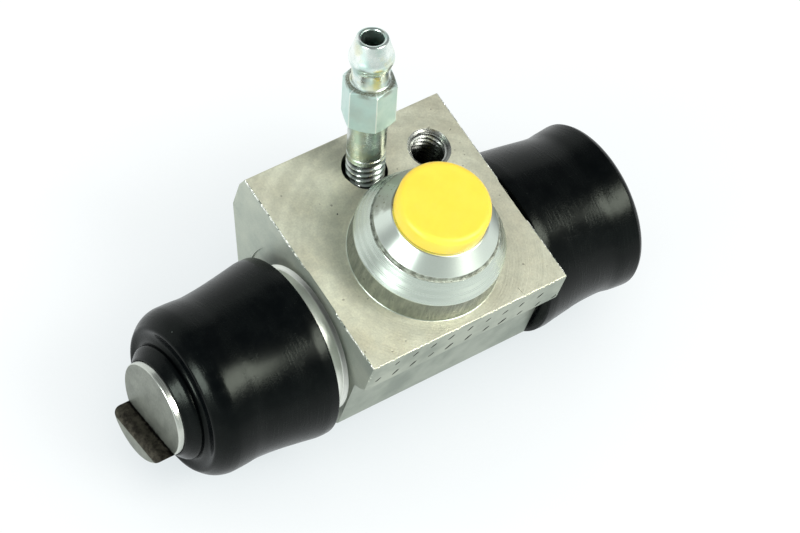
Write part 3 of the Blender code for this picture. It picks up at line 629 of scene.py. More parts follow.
def makeBlock():
    # extruded body with its sharp edges slightly broken
    outline = sectionOutline()
    half = housingSize["halfLength"] * mm
    shape = bmesh.new()
    ring = [shape.verts.new((-half, y * mm + boreCentre.y, z * mm + boreCentre.z)) for y, z in outline]
    first = shape.faces.new(ring)
    made = bmesh.ops.extrude_face_region(shape, geom=[first])
    moved = [v for v in made["geom"] if isinstance(v, bmesh.types.BMVert)]
    bmesh.ops.translate(shape, vec=(2 * half, 0.0, 0.0), verts=moved)
    bmesh.ops.recalc_face_normals(shape, faces=shape.faces)
    sharp = [e for e in shape.edges if len(e.link_faces) == 2 and e.calc_face_angle(0.0) > math.radians(14)]
    bmesh.ops.bevel(shape, geom=sharp, offset=housingSize["edge"] * mm, segments=2, profile=0.6,
                    affect="EDGES", clamp_overlap=True)
    mesh = bpy.data.meshes.new("housing_detail")
    shape.to_mesh(mesh)
    shape.free()
    block = bpy.data.objects.new("housing_detail", mesh)
    scene.collection.objects.link(block)
    return block


def scaled(points):
    return [(r * mm, h * mm) for r, h in points]


def neckSide(side):
    n, s = neckSize, housingSize
    face = s["halfLength"] - s["spotDepth"]
    end = s["halfLength"] + n["length"]
    start = bootStart[side] / mm + n["grooveStart"]
    lip = start + n["grooveWidth"]
    root = n["radius"] - n["grooveDepth"]
    line = [(0.0, end), (n["noseRadius"], end), (n["noseRadius"], lip + n["lipWidth"] + 1.0),
            (n["lipRadius"], lip + n["lipWidth"]), (n["lipRadius"], lip), (root, lip), (root, start),
            (n["radius"], start)]
    rise = min(n["root"], start - face - 0.3)
    line = eased(line + [(n["radius"], face + rise), (n["radius"] + rise, face)], 0.1)
    return line + [(n["radius"] + rise, face - 1.0), (n["radius"] - 1.0, face - 2.0)]


def neckTool():
    full = neckSide("right") + [(r, -h) for r, h in reversed(neckSide("left"))]
    tool = skin("neckTool", scaled(full), housingSize["steps"])
    tool.data.transform(alongBore("right"))
    return tool


def boreTool():
    n = neckSize
    end = housingSize["halfLength"] + n["length"]
    side = [(0.0, end + 1), (n["boreRadius"] + n["mouth"] + 1, end + 1), (n["boreRadius"], end - n["mouth"])]
    tool = skin("boreTool", scaled(side + [(r, -h) for r, h in reversed(side)]), 128)
    tool.data.transform(alongBore("right"))
    return tool


def bossTool():
    b = bossSize
    grooveTop = b["ringHeight"] + b["grooveWidth"]
    inner = b["ringRadius"] - b["groove"]
    upper = [(0.0, b["height"]), (b["topRadius"], b["height"]), (inner, grooveTop), (inner, b["ringHeight"]),
             (b["ringRadius"], b["ringHeight"]), (b["radius"], b["wall"]), (b["radius"], b["foot"])]
    points = eased(upper, 0.14, 3)
    points += [(b["radius"] + b["foot"] * (1 - math.cos(a)), b["foot"] * (1 - math.sin(a)))
               for a in (math.radians(d) for d in (22, 45, 68, 90))]
    points += [(b["radius"] + b["foot"], -1.0), (b["radius"] - 1.0, -2.0), (0.0, -2.0)]
    return skin("bossTool", scaled(points), housingSize["steps"])


def portTool():
    b = bossSize
    floor = b["height"] - b["portDepth"]
    drillEnd = -housingSize["boreDepth"] + neckSize["boreRadius"] / 2
    points = [(0.0, b["height"] + 1), (b["portRadius"] + 1.3, b["height"] + 1),
              (b["portRadius"], b["height"] - 0.3), (b["portRadius"], floor), (b["drilling"], floor - 1.6),
              (b["drilling"], drillEnd), (0.0, drillEnd)]
    return skin("portTool", scaled(points), 96)


def threadWave(height, angle, pitch):
    # 0 at a thread's crest and 1 at its root, with slightly flat crests
    phase = (height / pitch - angle / (2 * math.pi)) % 1.0
    wave = abs(2 * phase - 1)
    return min(1.0, max(0.0, (wave - 0.1) / 0.8))


def boltTool():
    b = boltSize

    def radiusAt(height):
        def radius(angle):
            cutRadius = b["minor"] + (b["major"] - b["minor"]) * threadWave(height, angle, b["pitch"])
            return max(cutRadius, b["sink"] + 1.4 * min(height, 0.0)) * mm
        return radius
    rings = [(0.0, 1.3 * mm), (b["sink"] * mm, 1.3 * mm), (b["sink"] * mm, 0.03 * mm)]
    steps = int(b["depth"] / 0.125)
    rings += [(radiusAt(-0.125 * k), -0.125 * k * mm) for k in range(1, steps)]
    rings += [(b["minor"] * mm, -b["depth"] * mm), (0.0, (-b["depth"] - 1.2) * mm)]
    tool = skin("boltTool", rings, 72)
    tool.location = (b["x"] * mm, b["y"] * mm, 0.0)
    return tool


def bleedTool():
    b = bleedHole
    points = [(0.0, 2.0), (b["mouth"], 2.0), (b["mouth"], 0.0), (b["radius"], -0.2), (b["radius"], -10.3),
              (b["nose"], -b["depth"]), (0.0, -b["depth"])]
    tool = skin("bleedTool", scaled(points), 80)
    tool.location = (0.0, b["y"] * mm, 0.0)
    tool.rotation_euler = (-math.radians(b["tilt"]), 0.0, 0.0)
    return tool


def drillTool():
    b = bleedHole
    tilt = math.radians(b["tilt"])
    foot = Vector((0.0, b["y"], 0.0)) * mm - Vector((0.0, math.sin(tilt), math.cos(tilt))) * 11.1 * mm
    run = boreCentre - foot
    radius = b["drilling"] * mm
    tool = skin("drillTool", [(0.0, run.length), (radius, run.length), (radius, 0.0), (0.0, 0.0)], 32)
    tool.location = foot
    tool.rotation_euler = run.to_track_quat("Z", "Y").to_euler()
    return tool


def spotTool(side):
    s = housingSize
    far, face = s["halfLength"] + 1.0, s["halfLength"] - s["spotDepth"]
    points = [(0.0, far), (s["spotRadius"], far), (s["spotRadius"], face + 0.05),
              (s["spotRadius"] - 0.05, face), (0.0, face)]
    tool = skin("spotTool", scaled(points), 160)
    tool.data.transform(alongBore(side))
    return tool


def nicksAlong(start, end):
    # small dents of uneven size that break up an edge
    e = edgeNicks
    run = end - start
    stretch = Vector([e["stretch"] if abs(part) > 0.5 else 1.0 for part in run.normalized()])
    found = []
    for i in range(int(run.length / e["spacing"])):
        if random.random() < 0.6:
            place = start + run.normalized() * (i + 0.5 + random.uniform(-0.1, 0.1)) * e["spacing"]
            found.append((place * mm, stretch * random.uniform(*e["size"]), 0.0))
    return found


def marksTool():
    # two rows of slanted jaw marks on the front strip, a nick on the left edge and a few pits
    random.seed(7)
    c = clampMarks
    frontY = boreCentre.y - housingSize["frontReach"] * mm
    spots = []
    for count, first, (zStart, zEnd) in ((c["lowerCount"], c["firstX"], c["lowerZ"]),
                                         (c["upperCount"], c["upperFirstX"], c["upperZ"])):
        for i in range(count):
            z = zStart + (zEnd - zStart) * i / (count - 1) + random.uniform(-0.12, 0.12)
            size = random.uniform(0.7, 1.15) * (0.85 if first > c["firstX"] else 1.0)
            x = first + c["pitch"] * i + random.uniform(-0.15, 0.15)
            spots.append((Vector((x * mm, frontY, z * mm)),
                          Vector((c["length"] * size, c["depth"], c["width"] * size)), c["slant"]))
    spots.append((Vector((-17.0 * mm, 1.62 * mm, 0.0)), Vector((0.3, 0.42, 0.22)), 0.0))
    for x, y in ((-7.85, 10.9), (9.2, -11.1), (4.1, 19.6), (-13.6, 3.4), (12.4, 6.2)):
        spots.append((Vector((x * mm, y * mm, 0.0)), Vector((0.13, 0.13, 0.1)), 0.0))
    spots += nicksAlong(Vector((-17.0, -12.2, 0.0)), Vector((-17.0, 1.1, 0.0)))
    spots += nicksAlong(Vector((-17.0, 2.3, 0.0)), Vector((-17.0, 19.6, 0.0)))
    spots += nicksAlong(Vector((-16.4, frontY / mm, 0.0)), Vector((16.4, frontY / mm, 0.0)))
    spots += nicksAlong(Vector((17.0, -12.2, 0.0)), Vector((17.0, 19.6, 0.0)))
    spots += nicksAlong(Vector((-17.0, frontY / mm, -5.6)), Vector((-17.0, frontY / mm, -0.8)))
    shape = bmesh.new()
    for centre, size, slant in spots:
        made = bmesh.ops.create_icosphere(shape, subdivisions=2, radius=1.0)
        turn = Matrix.Rotation(-math.radians(slant + random.uniform(-8, 8) * (slant > 0)), 4, "Y")
        stretch = Matrix.Diagonal((*(size * mm), 1.0))
        bmesh.ops.transform(shape, matrix=Matrix.Translation(centre) @ turn @ stretch, verts=made["verts"])
    mesh = bpy.data.meshes.new("marksTool")
    shape.to_mesh(mesh)
    shape.free()
    tool = bpy.data.objects.new("marksTool", mesh)
    scene.collection.objects.link(tool)
    return tool


def makeHousing():
    housing = makeBlock()
    cut(housing, marksTool())
    cut(housing, spotTool("left"))
    cut(housing, spotTool("right"))
    cut(housing, neckTool(), "UNION")
    cut(housing, bossTool(), "UNION")
    cut(housing, boreTool())
    cut(housing, portTool())
    cut(housing, boltTool())
    cut(housing, bleedTool())
    cut(housing, drillTool())
    housing.data.materials.clear()
    # in the order of the kinds in paintHousing
    for finish in (facedMetal(), endMetal(), drawnMetal(), turnedMetal("turnedBoss", False),
                   turnedMetal("turnedNeck", True), wallMetal("dullTurnedAluminium", "wallLight", "wallDark"),
                   boreMetal(), markAndShadeMetal(), edgeMetal(),
                   wallMetal("grooveAluminium", "grooveLight", "grooveDark"), threadMetal()):
        housing.data.materials.append(finish)
    paintHousing(housing.data)
    shade(housing, planes=2.0)
    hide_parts("housing")
    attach(housing, "housing")
    return housing


def paintHousing(mesh):
    # choose the finish of each face by where it is
    s, b, n = housingSize, bossSize, neckSize
    faced, end, drawn, turned, neck, wall, inner, markAndShade, edge, groove, thread = range(11)
    frontY = boreCentre.y / mm - s["frontReach"]
    tilt = math.radians(bleedHole["tilt"])
    bleedAxis = Vector((0.0, math.sin(tilt), math.cos(tilt)))
    for face in mesh.polygons:
        c = face.center / mm
        facing = face.normal
        fromBoss = math.hypot(c.x, c.y)
        fromBore = math.hypot(c.y - boreCentre.y / mm, c.z - boreCentre.z / mm)
        fromBolt = math.hypot(c.x - boltSize["x"], c.y - boltSize["y"])
        bleedPoint = c - Vector((0.0, bleedHole["y"], 0.0))
        fromBleed = (bleedPoint - bleedAxis * bleedPoint.dot(bleedAxis)).length
        kind = drawn
        if c.z > -0.4 and facing.z > 0.3:
            kind = faced
        if abs(c.x) > s["halfLength"] - s["spotDepth"] - 0.05 and abs(facing.x) > 0.3:
            kind = end
        onNeck = fromBore < n["radius"] + n["root"] + 0.05 and abs(c.x) > s["halfLength"] - 0.3
        if onNeck and abs(facing.x) < 0.97:
            kind = neck
        if -0.25 < c.z < 0.0 and 0.25 < facing.z < 0.97 and abs(c.x) > s["halfLength"] - 0.25:
            kind = edge
        if c.z > 0.01:
            kind = turned
        if c.z >= b["foot"] + 0.02:
            if c.z < b["wall"] - 0.1:
                kind = wall
            elif abs(c.z - b["ringHeight"] - b["grooveWidth"] / 2) < b["grooveWidth"] / 2 + 0.05:
                kind = groove
            elif fromBoss < b["portRadius"] + 0.4:
                kind = inner
        if fromBore < n["boreRadius"] + 0.1 and abs(c.x) < s["halfLength"] + n["length"] + 0.1:
            kind = inner
        if c.z < -0.03:
            if fromBolt < boltSize["sink"]:
                kind = thread
            elif fromBleed < bleedHole["radius"] + 0.1:
                # the bleed hole's wall takes the dark finish: painted shade in the gap round the screw
                kind = markAndShade
            elif fromBoss < b["drilling"] + 0.1:
                kind = inner
        clamped = frontY + 0.004 < c.y < frontY + 0.5 and -6.0 < c.z < -0.5 and abs(c.x) < 16.7
        pitted = -0.2 < c.z < -0.006 and facing.z > 0.2 and abs(c.x) < 16.6 and -12.3 < c.y < 20.5
        # clamp marks and pits take the same dark finish: painted shade in the dents
        if clamped or (pitted and kind == faced):
            kind = markAndShade
        face.material_index = kind


makeHousing()
print("housing ready")


# rubber

bootSize = {"rim": 13.85, "waist": 12.65, "wall": 1.6, "collar": 8.8, "valley": 1.1, "steps": 168,
            "crest": {"left": 12.85, "right": 13.1}, "crestBack": {"left": 4.7, "right": 1.7},
            "shoulder": {"left": 4.2, "right": 2.0}, "turnIn": {"left": 62, "right": 84},
            "sag": {"left": (0.0, 0.0), "right": (-0.35, -0.29)}}
rubberLook = {"black": (0.0004, 0.0008, 0.0013), "grey": (0.0022, 0.0031, 0.0033), "dust": (0.20, 0.23, 0.21),
              "shine": 0.12, "shineTint": (0.90, 1.0, 0.88, 1.0), "linesAlong": 2600.0, "linesAround": 3.0}


def makeRubber():
    # moulded black rubber: handling haze, fine lines round the boot and a few dust specks
    made, tree, shader, place = newSurface("bootRubber", 0.0, 0.4)
    blotch = use(tree, blotchGroup, {"Vector": place, "Patch Size": 0.0035, "Grain Size": 0.00022})
    around = put(tree, "Mapping", {"Vector": place, "Location": (boreCentre.z, -boreCentre.y, 0.0),
                                   "Rotation": (0.0, -math.pi / 2, 0.0)}).outputs[0]
    parts = put(tree, "SeparateXYZ", {"Vector": around}).outputs
    angle = number(tree, "ARCTAN2", parts["Y"], parts["X"])
    lines = put(tree, "TexNoise", {"Vector": put(tree, "CombineXYZ", {
        "X": times(tree, parts["Z"], rubberLook["linesAlong"]),
        "Y": times(tree, angle, rubberLook["linesAround"])}).outputs[0],
                                   "Scale": 1.0, "Detail": 4.0}).outputs["Fac"]
    scratch = times(tree, ramp(tree, lines, 0.48, 0.62), ramp(tree, blotch["Patch"], 0.25, 0.8))
    dust = use(tree, speckGroup, {"Vector": place, "Spacing": 0.0022, "Size": 0.035, "Share": 0.12})
    colour = tinted(tree, blotch["Patch"], 0.55, rubberLook["black"], rubberLook["grey"])
    colour = tinted(tree, scratch, 0.35, colour, rubberLook["grey"])
    colour = tinted(tree, dust["Mask"], 0.5, colour, rubberLook["dust"])
    roughness = plus(tree, ramp(tree, blotch["Patch"], 0.0, 1.0, 0.2, 0.26),
                     times(tree, blotch["Grain"], 0.05))
    height = plus(tree, times(tree, blotch["Grain"], 0.3), times(tree, scratch, 1.0))
    finishSurface(tree, shader, colour, roughness, height, 0.00001)
    shader.inputs["Specular IOR Level"].default_value = rubberLook["shine"]
    shader.inputs["Specular Tint"].default_value = rubberLook["shineTint"]
    return made


def bootProfile(side):
    # closed section of a boot as (radius, distance from the body's middle)
    b, n = bootSize, neckSize
    end, start = bootEnd[side] / mm, bootStart[side] / mm
    c, crestRadius, length = b["collar"], b["crest"][side], b["shoulder"][side]
    crest = end - b["crestBack"][side]
    lip = pistonSize["radius"] + 0.06
    turnIn = b["turnIn"][side]
    collar = [(lip + 0.02, end + 1.42), (lip + 0.25, end + 1.36), (lip + 0.62, end + 0.95),
              (c - 0.42, end + 0.4), (c - 0.1, end), (c, end - 0.4), (c - 0.06, end - 0.8),
              (c + 0.12, end - b["valley"] - 0.02)]
    if turnIn < 80:
        collar += [(c + 0.45, end - b["valley"] - 0.22), (c + 1.1, end - b["valley"] - 0.24)]
    else:
        collar.append((c + 0.5, end - b["valley"]))
    fall = crestRadius - c - 0.3
    shoulder = [(crestRadius - fall * (1 - math.cos(a)), crest + length * math.sin(a))
                for a in (math.radians(d) for d in (83, 72, 60, 48, 36, 24, 12) if d < turnIn)]
    low = crest - 4.3
    flank = [(crestRadius, crest), ((crestRadius + b["waist"]) / 2 + 0.02, crest - 2.2), (b["waist"], low),
             (b["waist"] + 0.28, (low * 2 + start + 1) / 3), (b["waist"] + 0.76, (low + 2 * start + 2) / 3),
             (b["rim"] - 0.12, start + 2.4), (b["rim"], start + 1.5), (b["rim"], start + 0.5),
             (b["rim"] - 0.04, start + 0.12), (b["rim"] - 0.2, start + 0.02), (b["rim"] - 0.75, start)]
    outer = through(collar + shoulder + flank, 4)
    grooveStart = start + n["grooveStart"]
    grooveEnd = grooveStart + n["grooveWidth"]
    lipEnd = grooveEnd + n["lipWidth"]
    wall = b["waist"] - b["wall"]
    endWall = end - b["valley"] - b["wall"]
    bead = n["radius"] - n["grooveDepth"] + 0.05
    grooveOuter = pistonEnd[side] / mm - pistonSize["tabHeight"] - pistonSize["bootGroove"]
    grooveInner = grooveOuter - pistonSize["bootGrooveWidth"]
    grooveRoot = pistonSize["radius"] - pistonSize["bootGrooveDepth"] + 0.05
    snug = pistonSize["radius"] + 0.05
    inner = [(n["radius"] + 0.05, start), (n["radius"] + 0.05, grooveStart + 0.1), (bead, grooveStart + 0.1),
             (bead, grooveEnd - 0.1), (n["lipRadius"] + 0.1, grooveEnd - 0.1), (n["lipRadius"] + 0.1, lipEnd),
             (wall, lipEnd + 3.0), (wall, endWall - b["wall"]), (wall - b["wall"], endWall), (snug, endWall),
             (snug, grooveInner + 0.1), (grooveRoot, grooveInner + 0.1), (grooveRoot, grooveOuter - 0.1),
             (snug, grooveOuter - 0.1), (snug, end + 0.9), (snug, end + 1.36)]
    return outer + eased(inner, 0.2, 2)


def makeBoot(side, material):
    rings = scaled(bootProfile(side))
    boot = skin(side + "_boot_rubber", rings, bootSize["steps"], loop=True)
    boot.data.transform(alongBore(side))
    # a moulded part is never quite true, and a pressed one sags off its axis
    sagY, sagZ = bootSize["sag"][side]
    for v in boot.data.vertices:
        spoke = Vector((0.0, v.co.y - boreCentre.y, v.co.z - boreCentre.z))
        far = max(0.0, min(1.0, (spoke.length / mm - 9.5) / 2.5))
        out = max(0.0, min(1.0, (abs(v.co.x) / mm - 24.0) / 9.0))
        v.co += spoke.normalized() * noise.noise(v.co * 90.0) * 0.05 * mm * far
        v.co += Vector((0.0, sagY, sagZ)) * mm * far * out * out * (3 - 2 * out)
    fixNormals(boot)
    boot.data.materials.append(material)
    shade(boot, 50.0, weighted=False)
    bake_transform(boot)
    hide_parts(side + "_boot")


# pistons and seals

pistonSize = {"radius": 7.145, "length": 24.0, "tabHeight": 2.8, "tabChord": 3.9, "tabTurn": 15.0,
              "tabNose": (1.2, 1.3), "edge": 0.3, "seatChamfer": 0.2, "bootGroove": 3.1,
              "bootGrooveWidth": 1.8, "bootGrooveDepth": 0.9,
              "sealGroove": 2.4, "sealGrooveWidth": 3.4, "sealGrooveDepth": 1.9, "springSeat": 5.5,
              "springDepth": 3.0}
# foot is the colour of the painted shade in the corner beside the tab
pistonLook = {"face": (0.255, 0.27, 0.232), "faceDark": (0.15, 0.16, 0.14), "bright": (0.72, 0.75, 0.69),
              "tab": (0.085, 0.078, 0.060), "tabDark": (0.022, 0.020, 0.016), "foot": (0.008, 0.007, 0.006),
              "footGrain": 2600.0, "footWander": 0.0011, "footEdge": (0.00034, 0.00008)}


def footShade(tree, place, side):
    # painted shade in the corner between the seat and the tab, 1 in the corner
    up = tabUp(side)
    grain = put(tree, "TexNoise", {"Vector": place, "Scale": pistonLook["footGrain"],
                                   "Detail": 3.0}).outputs["Fac"]
    out = along(tree, place, up)
    fromTab = plus(tree, out, pistonSize["tabChord"] * mm)
    parts = put(tree, "SeparateXYZ", {"Vector": place}).outputs
    seat = pistonEnd[side] - pistonSize["tabHeight"] * mm
    reach = number(tree, "MAXIMUM", fromTab, minus(tree, parts["Z"], seat))
    reach = minus(tree, reach, times(tree, minus(tree, grain, 0.45), pistonLook["footWander"]))
    return ramp(tree, reach, *pistonLook["footEdge"])


def pistonFaceMetal(side):
    made, tree, shader, place = newSurface("pistonFace", 0.85, 0.45)
    blotch = use(tree, blotchGroup, {"Vector": place, "Patch Size": 0.0022, "Grain Size": 0.00025})
    rings = use(tree, turnedGroup, {"Vector": place, "Pitch": 0.00025, "Wander": 0.3})
    colour = tinted(tree, blotch["Patch"], 0.6, pistonLook["face"], pistonLook["faceDark"])
    colour = tinted(tree, rings["Broad"], 0.15, colour, pistonLook["faceDark"])
    # painted shade in the corner beside the tab
    colour = mixColour(tree, footShade(tree, place, side), colour, pistonLook["foot"])
    height = plus(tree, times(tree, blotch["Grain"], 0.5), times(tree, rings["Rings"], 0.5))
    finishSurface(tree, shader, colour, ramp(tree, blotch["Grain"], 0.0, 1.0, 0.38, 0.52), height, 0.000012)
    return made


def pistonSideMetal():
    made, tree, shader, place = newSurface("pistonSide", 1.0, 0.25)
    rings = use(tree, turnedGroup, {"Vector": place, "Pitch": 0.00018, "Wander": 0.2})
    colour = tinted(tree, rings["Broad"], 0.3, pistonLook["bright"], pistonLook["face"])
    finishSurface(tree, shader, colour, ramp(tree, rings["Rings"], 0.0, 1.0, 0.2, 0.32), rings["Rings"],
                  0.000004)
    return made


def tabMetal(side):
    # sawn side of the tab, stained brown
    made, tree, shader, place = newSurface("stainedTab", 1.0, 0.5)
    blotch = use(tree, blotchGroup, {"Vector": place, "Patch Size": 0.0009, "Grain Size": 0.0002})
    specks = use(tree, speckGroup, {"Vector": place, "Spacing": 0.0005, "Size": 0.3, "Share": 0.5})
    colour = mixColour(tree, blotch["Patch"], pistonLook["tab"], pistonLook["tabDark"])
    colour = tinted(tree, specks["Mask"], 0.7, colour, pistonLook["tabDark"])
    # painted shade in the corner beside the tab
    colour = mixColour(tree, footShade(tree, place, side), colour, pistonLook["foot"])
    height = minus(tree, blotch["Grain"], specks["Mask"])
    finishSurface(tree, shader, colour, ramp(tree, blotch["Grain"], 0.0, 1.0, 0.42, 0.6), height, 0.00003)
    return made


def tabUp(side):
    # direction from the tab's flat side towards the middle of the seat, about the piston's own axis
    turn = math.radians(pistonSize["tabTurn"])
    return Vector((-sideSign[side] * math.cos(turn), math.sin(turn), 0.0))


def makeTab(side, seat):
    # segment of the piston's end beside the seat, with a rounded nose
    p = pistonSize
    end, radius = seat + p["tabHeight"], p["radius"] - 0.012
    tab = skin("tab", scaled([(0.0, end), (radius - p["edge"], end), (radius - 0.06, end - p["edge"] * 0.6),
                              (radius, end - p["edge"] * 1.4), (radius, seat - 0.9), (0.0, seat - 0.9)]), 144)
    up = tabUp(side)
    across = Vector((0.0, 0.0, 1.0)).cross(up)
    noseDepth, noseHeight = p["tabNose"]
    outline = [(-p["tabChord"], seat - 1.5)]
    outline += [(-p["tabChord"] - noseDepth * (1 - math.cos(a)), end - noseHeight * (1 - math.sin(a)))
                for a in (math.radians(10 * k) for k in range(10))]
    outline += [(-p["tabChord"] - noseDepth, end + 1.0), (2 * p["radius"], end + 1.0),
                (2 * p["radius"], seat - 1.5)]
    shape = bmesh.new()
    ring = [shape.verts.new((up * out + Vector((0.0, 0.0, height)) - across * 2 * p["radius"]) * mm)
            for out, height in outline]
    made = bmesh.ops.extrude_face_region(shape, geom=[shape.faces.new(ring)])
    moved = [v for v in made["geom"] if isinstance(v, bmesh.types.BMVert)]
    bmesh.ops.translate(shape, vec=across * 4 * p["radius"] * mm, verts=moved)
    bmesh.ops.recalc_face_normals(shape, faces=shape.faces)
    mesh = bpy.data.meshes.new("tabTool")
    shape.to_mesh(mesh)
    shape.free()
    tool = bpy.data.objects.new("tabTool", mesh)
    scene.collection.objects.link(tool)
    cut(tab, tool)
    return tab


def makePiston(side, finishes):
    p = pistonSize
    seat = pistonEnd[side] / mm - p["tabHeight"]
    inner = seat - p["length"]
    grooveOuter = seat - p["bootGroove"]
    grooveInner = grooveOuter - p["bootGrooveWidth"]
    sealOuter = inner + p["sealGroove"] + p["sealGrooveWidth"]
    root, sealRoot = p["radius"] - p["bootGrooveDepth"], p["radius"] - p["sealGrooveDepth"]
    profile = [(0.0, seat), (p["radius"] - 0.14, seat), (p["radius"], seat - p["seatChamfer"]),
               (p["radius"], grooveOuter), (root, grooveOuter), (root, grooveInner),
               (p["radius"], grooveInner), (p["radius"], sealOuter), (sealRoot, sealOuter),
               (sealRoot, sealOuter - p["sealGrooveWidth"]), (p["radius"], sealOuter - p["sealGrooveWidth"]),
               (p["radius"], inner + 0.35), (p["radius"] - 0.35, inner), (p["springSeat"], inner),
               (p["springSeat"], inner + p["springDepth"]), (0.0, inner + p["springDepth"])]
    piston = skin(side + "_piston_metal", scaled(eased(profile, 0.08, 2)), 144)
    cut(piston, makeTab(side, seat), "UNION")
    shape = bmesh.new()
    shape.from_mesh(piston.data)
    high = [e for e in shape.edges if len(e.link_faces) == 2 and e.calc_face_angle(0.0) > math.radians(35)
            and min(v.co.z for v in e.verts) > (seat + 0.3) * mm and e.calc_length() > 0.00002]
    bmesh.ops.bevel(shape, geom=high, offset=0.12 * mm, segments=2, profile=0.6, affect="EDGES",
                    clamp_overlap=True)
    shape.to_mesh(piston.data)
    shape.free()
    piston.data.materials.clear()
    for finish in finishes:
        piston.data.materials.append(finish)
    up = tabUp(side)
    for face in piston.data.polygons:
        height = face.center.z / mm
        kind = 1
        if face.normal.z > 0.9 and height > seat - 0.05:
            kind = 0
        elif height > seat + 0.02 and face.normal.dot(up) > 0.12:
            kind = 2
        face.material_index = kind
    piston.matrix_world = alongBore(side)
    shade(piston, planes=2.0)
    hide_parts(side + "_piston")
    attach(piston, side + "_piston")


def sealMaterial():
    made, tree, shader, place = newSurface("sealRubber", 0.0, 0.45)
    blotch = use(tree, blotchGroup, {"Vector": place, "Patch Size": 0.002, "Grain Size": 0.0002})
    colour = mixColour(tree, blotch["Patch"], rubberLook["black"], rubberLook["grey"])
    finishSurface(tree, shader, colour, ramp(tree, blotch["Grain"], 0.0, 1.0, 0.38, 0.5), blotch["Grain"],
                  0.00001)
    return made


def makeSeal(side, material):
    p = pistonSize
    inner = pistonEnd[side] / mm - p["tabHeight"] - p["length"]
    root = p["radius"] - p["sealGrooveDepth"] + 0.1
    low, high = inner + p["sealGroove"] + 0.1, inner + p["sealGroove"] + p["sealGrooveWidth"] - 0.1
    lip = p["radius"] + 0.12
    profile = [(root, high), (p["radius"] - 0.25, high), (p["radius"], high - 0.5),
               (p["radius"] - 0.1, low + 1.2), (lip, low + 0.25), (lip - 0.3, low),
               ((root + lip) / 2 + 0.15, low + 1.1), (root + 0.55, low + 1.1), (root + 0.3, low), (root, low)]
    seal = skin(side + "_seal_rubber", scaled(eased(profile, 0.12, 3)), 120, loop=True)
    fixNormals(seal)
    seal.data.materials.append(material)
    seal.matrix_world = alongBore(side)
    shade(seal, 40.0, weighted=False)
    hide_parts(side + "_seal")
    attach(seal, side + "_piston")


rubber = makeRubber()
sealRubber = sealMaterial()
pistonSide = pistonSideMetal()
for sideName in ("left", "right"):
    makePiston(sideName, [pistonFaceMetal(sideName), pistonSide, tabMetal(sideName)])
    makeSeal(sideName, sealRubber)
    makeBoot(sideName, rubber)
print("pistons, seals and boots ready")


# return spring

springSize = {"radius": 4.7, "wire": 0.9, "turns": 7.0, "endTurns": 1.0, "closePitch": 1.1,
              "stepsPerTurn": 40, "sides": 14}
springLook = {"light": (0.55, 0.55, 0.56), "dark": (0.38, 0.38, 0.38)}


def springMaterial():
    made, tree, shader, place = newSurface("springSteel", 1.0, 0.3)
    blotch = use(tree, blotchGroup, {"Vector": place, "Patch Size": 0.0015, "Grain Size": 0.00015})
    colour = mixColour(tree, blotch["Patch"], springLook["light"], springLook["dark"])
    finishSurface(tree, shader, colour, ramp(tree, blotch["Grain"], 0.0, 1.0, 0.26, 0.38), blotch["Grain"],
                  0.000004)
    return made


def makeSpring(side, material):
    # half of the coil, from the middle to one piston
    s = springSize
    sign = sideSign[side]
    reach = pistonEnd[side] / mm - pistonSize["tabHeight"] - pistonSize["length"] + pistonSize["springDepth"]
    end = reach - s["wire"] / 2 - 0.1
    halfTurns = s["turns"] / 2
    openLength = end - s["endTurns"] * s["closePitch"]
    count = int(halfTurns * s["stepsPerTurn"])
    verts, faces = [], []
    for i in range(count + 1):
        turned = halfTurns * i / count
        opened = min(turned, halfTurns - s["endTurns"]) / (halfTurns - s["endTurns"]) * openLength
        closed = max(turned - halfTurns + s["endTurns"], 0.0) * s["closePitch"]
        angle = 2 * math.pi * turned * sign
        outward = Vector((0.0, math.cos(angle), math.sin(angle)))
        centre = Vector((sign * (opened + closed), 0.0, 0.0)) + outward * s["radius"]
        for k in range(s["sides"]):
            around = 2 * math.pi * k / s["sides"]
            spoke = outward * math.cos(around) + Vector((1.0, 0.0, 0.0)) * math.sin(around)
            verts.append(tuple((centre + spoke * s["wire"] / 2) * mm + boreCentre))
    for i in range(count):
        for k in range(s["sides"]):
            a, b = i * s["sides"] + k, i * s["sides"] + (k + 1) % s["sides"]
            faces.append((a, b, b + s["sides"], a + s["sides"]))
    faces.append(tuple(range(s["sides"])))
    faces.append(tuple(range(count * s["sides"], (count + 1) * s["sides"])))
    spring = newObject("return_spring_" + side, verts, faces)
    fixNormals(spring)
    spring.data.materials.append(material)
    shade(spring, 60.0, weighted=False)
    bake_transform(spring)
    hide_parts("return_spring")


springSteel = springMaterial()
for sideName in ("left", "right"):
    makeSpring(sideName, springSteel)
print("return spring ready")


# bleed screw

screwSize = {"threadTop": 3.4, "major": 2.9, "minor": 2.36, "pitch": 1.0, "shank": 2.86, "hexBottom": 10.3,
             "hexHeight": 7.5, "acrossFlats": 7.0, "hexTurn": 9.7, "hexSlope": 1.9, "neck": 2.76, "bulb": 3.3,
             "tip": 2.36, "nippleLength": 7.8, "bulbSetback": 3.4, "bore": 1.65, "noseDepth": 12.0,
             "noseRadius": 0.9, "steps": 144}
# root is the colour of painted shade in the thread, corner that of painted highlights on the hexagon
platedLook = {"silver": (0.95, 0.99, 0.95), "green": (0.53, 0.69, 0.64), "yellow": (0.80, 0.76, 0.42),
              "dark": (0.20, 0.22, 0.17), "root": (0.03, 0.032, 0.026), "brown": (0.13, 0.105, 0.05),
              "corner": (0.97, 1.0, 0.95)}
# in metres: radii of the thread's painted dark root and the brown ring, heights of the painted shade under
# the hexagon and over the thread
platedZones = {"root": (0.00284, 0.0025), "ring": (0.0037, 0.0034), "shaded": (0.0100, 0.0106),
               "threaded": (0.003708, 0.00309), "edge": 0.0001}


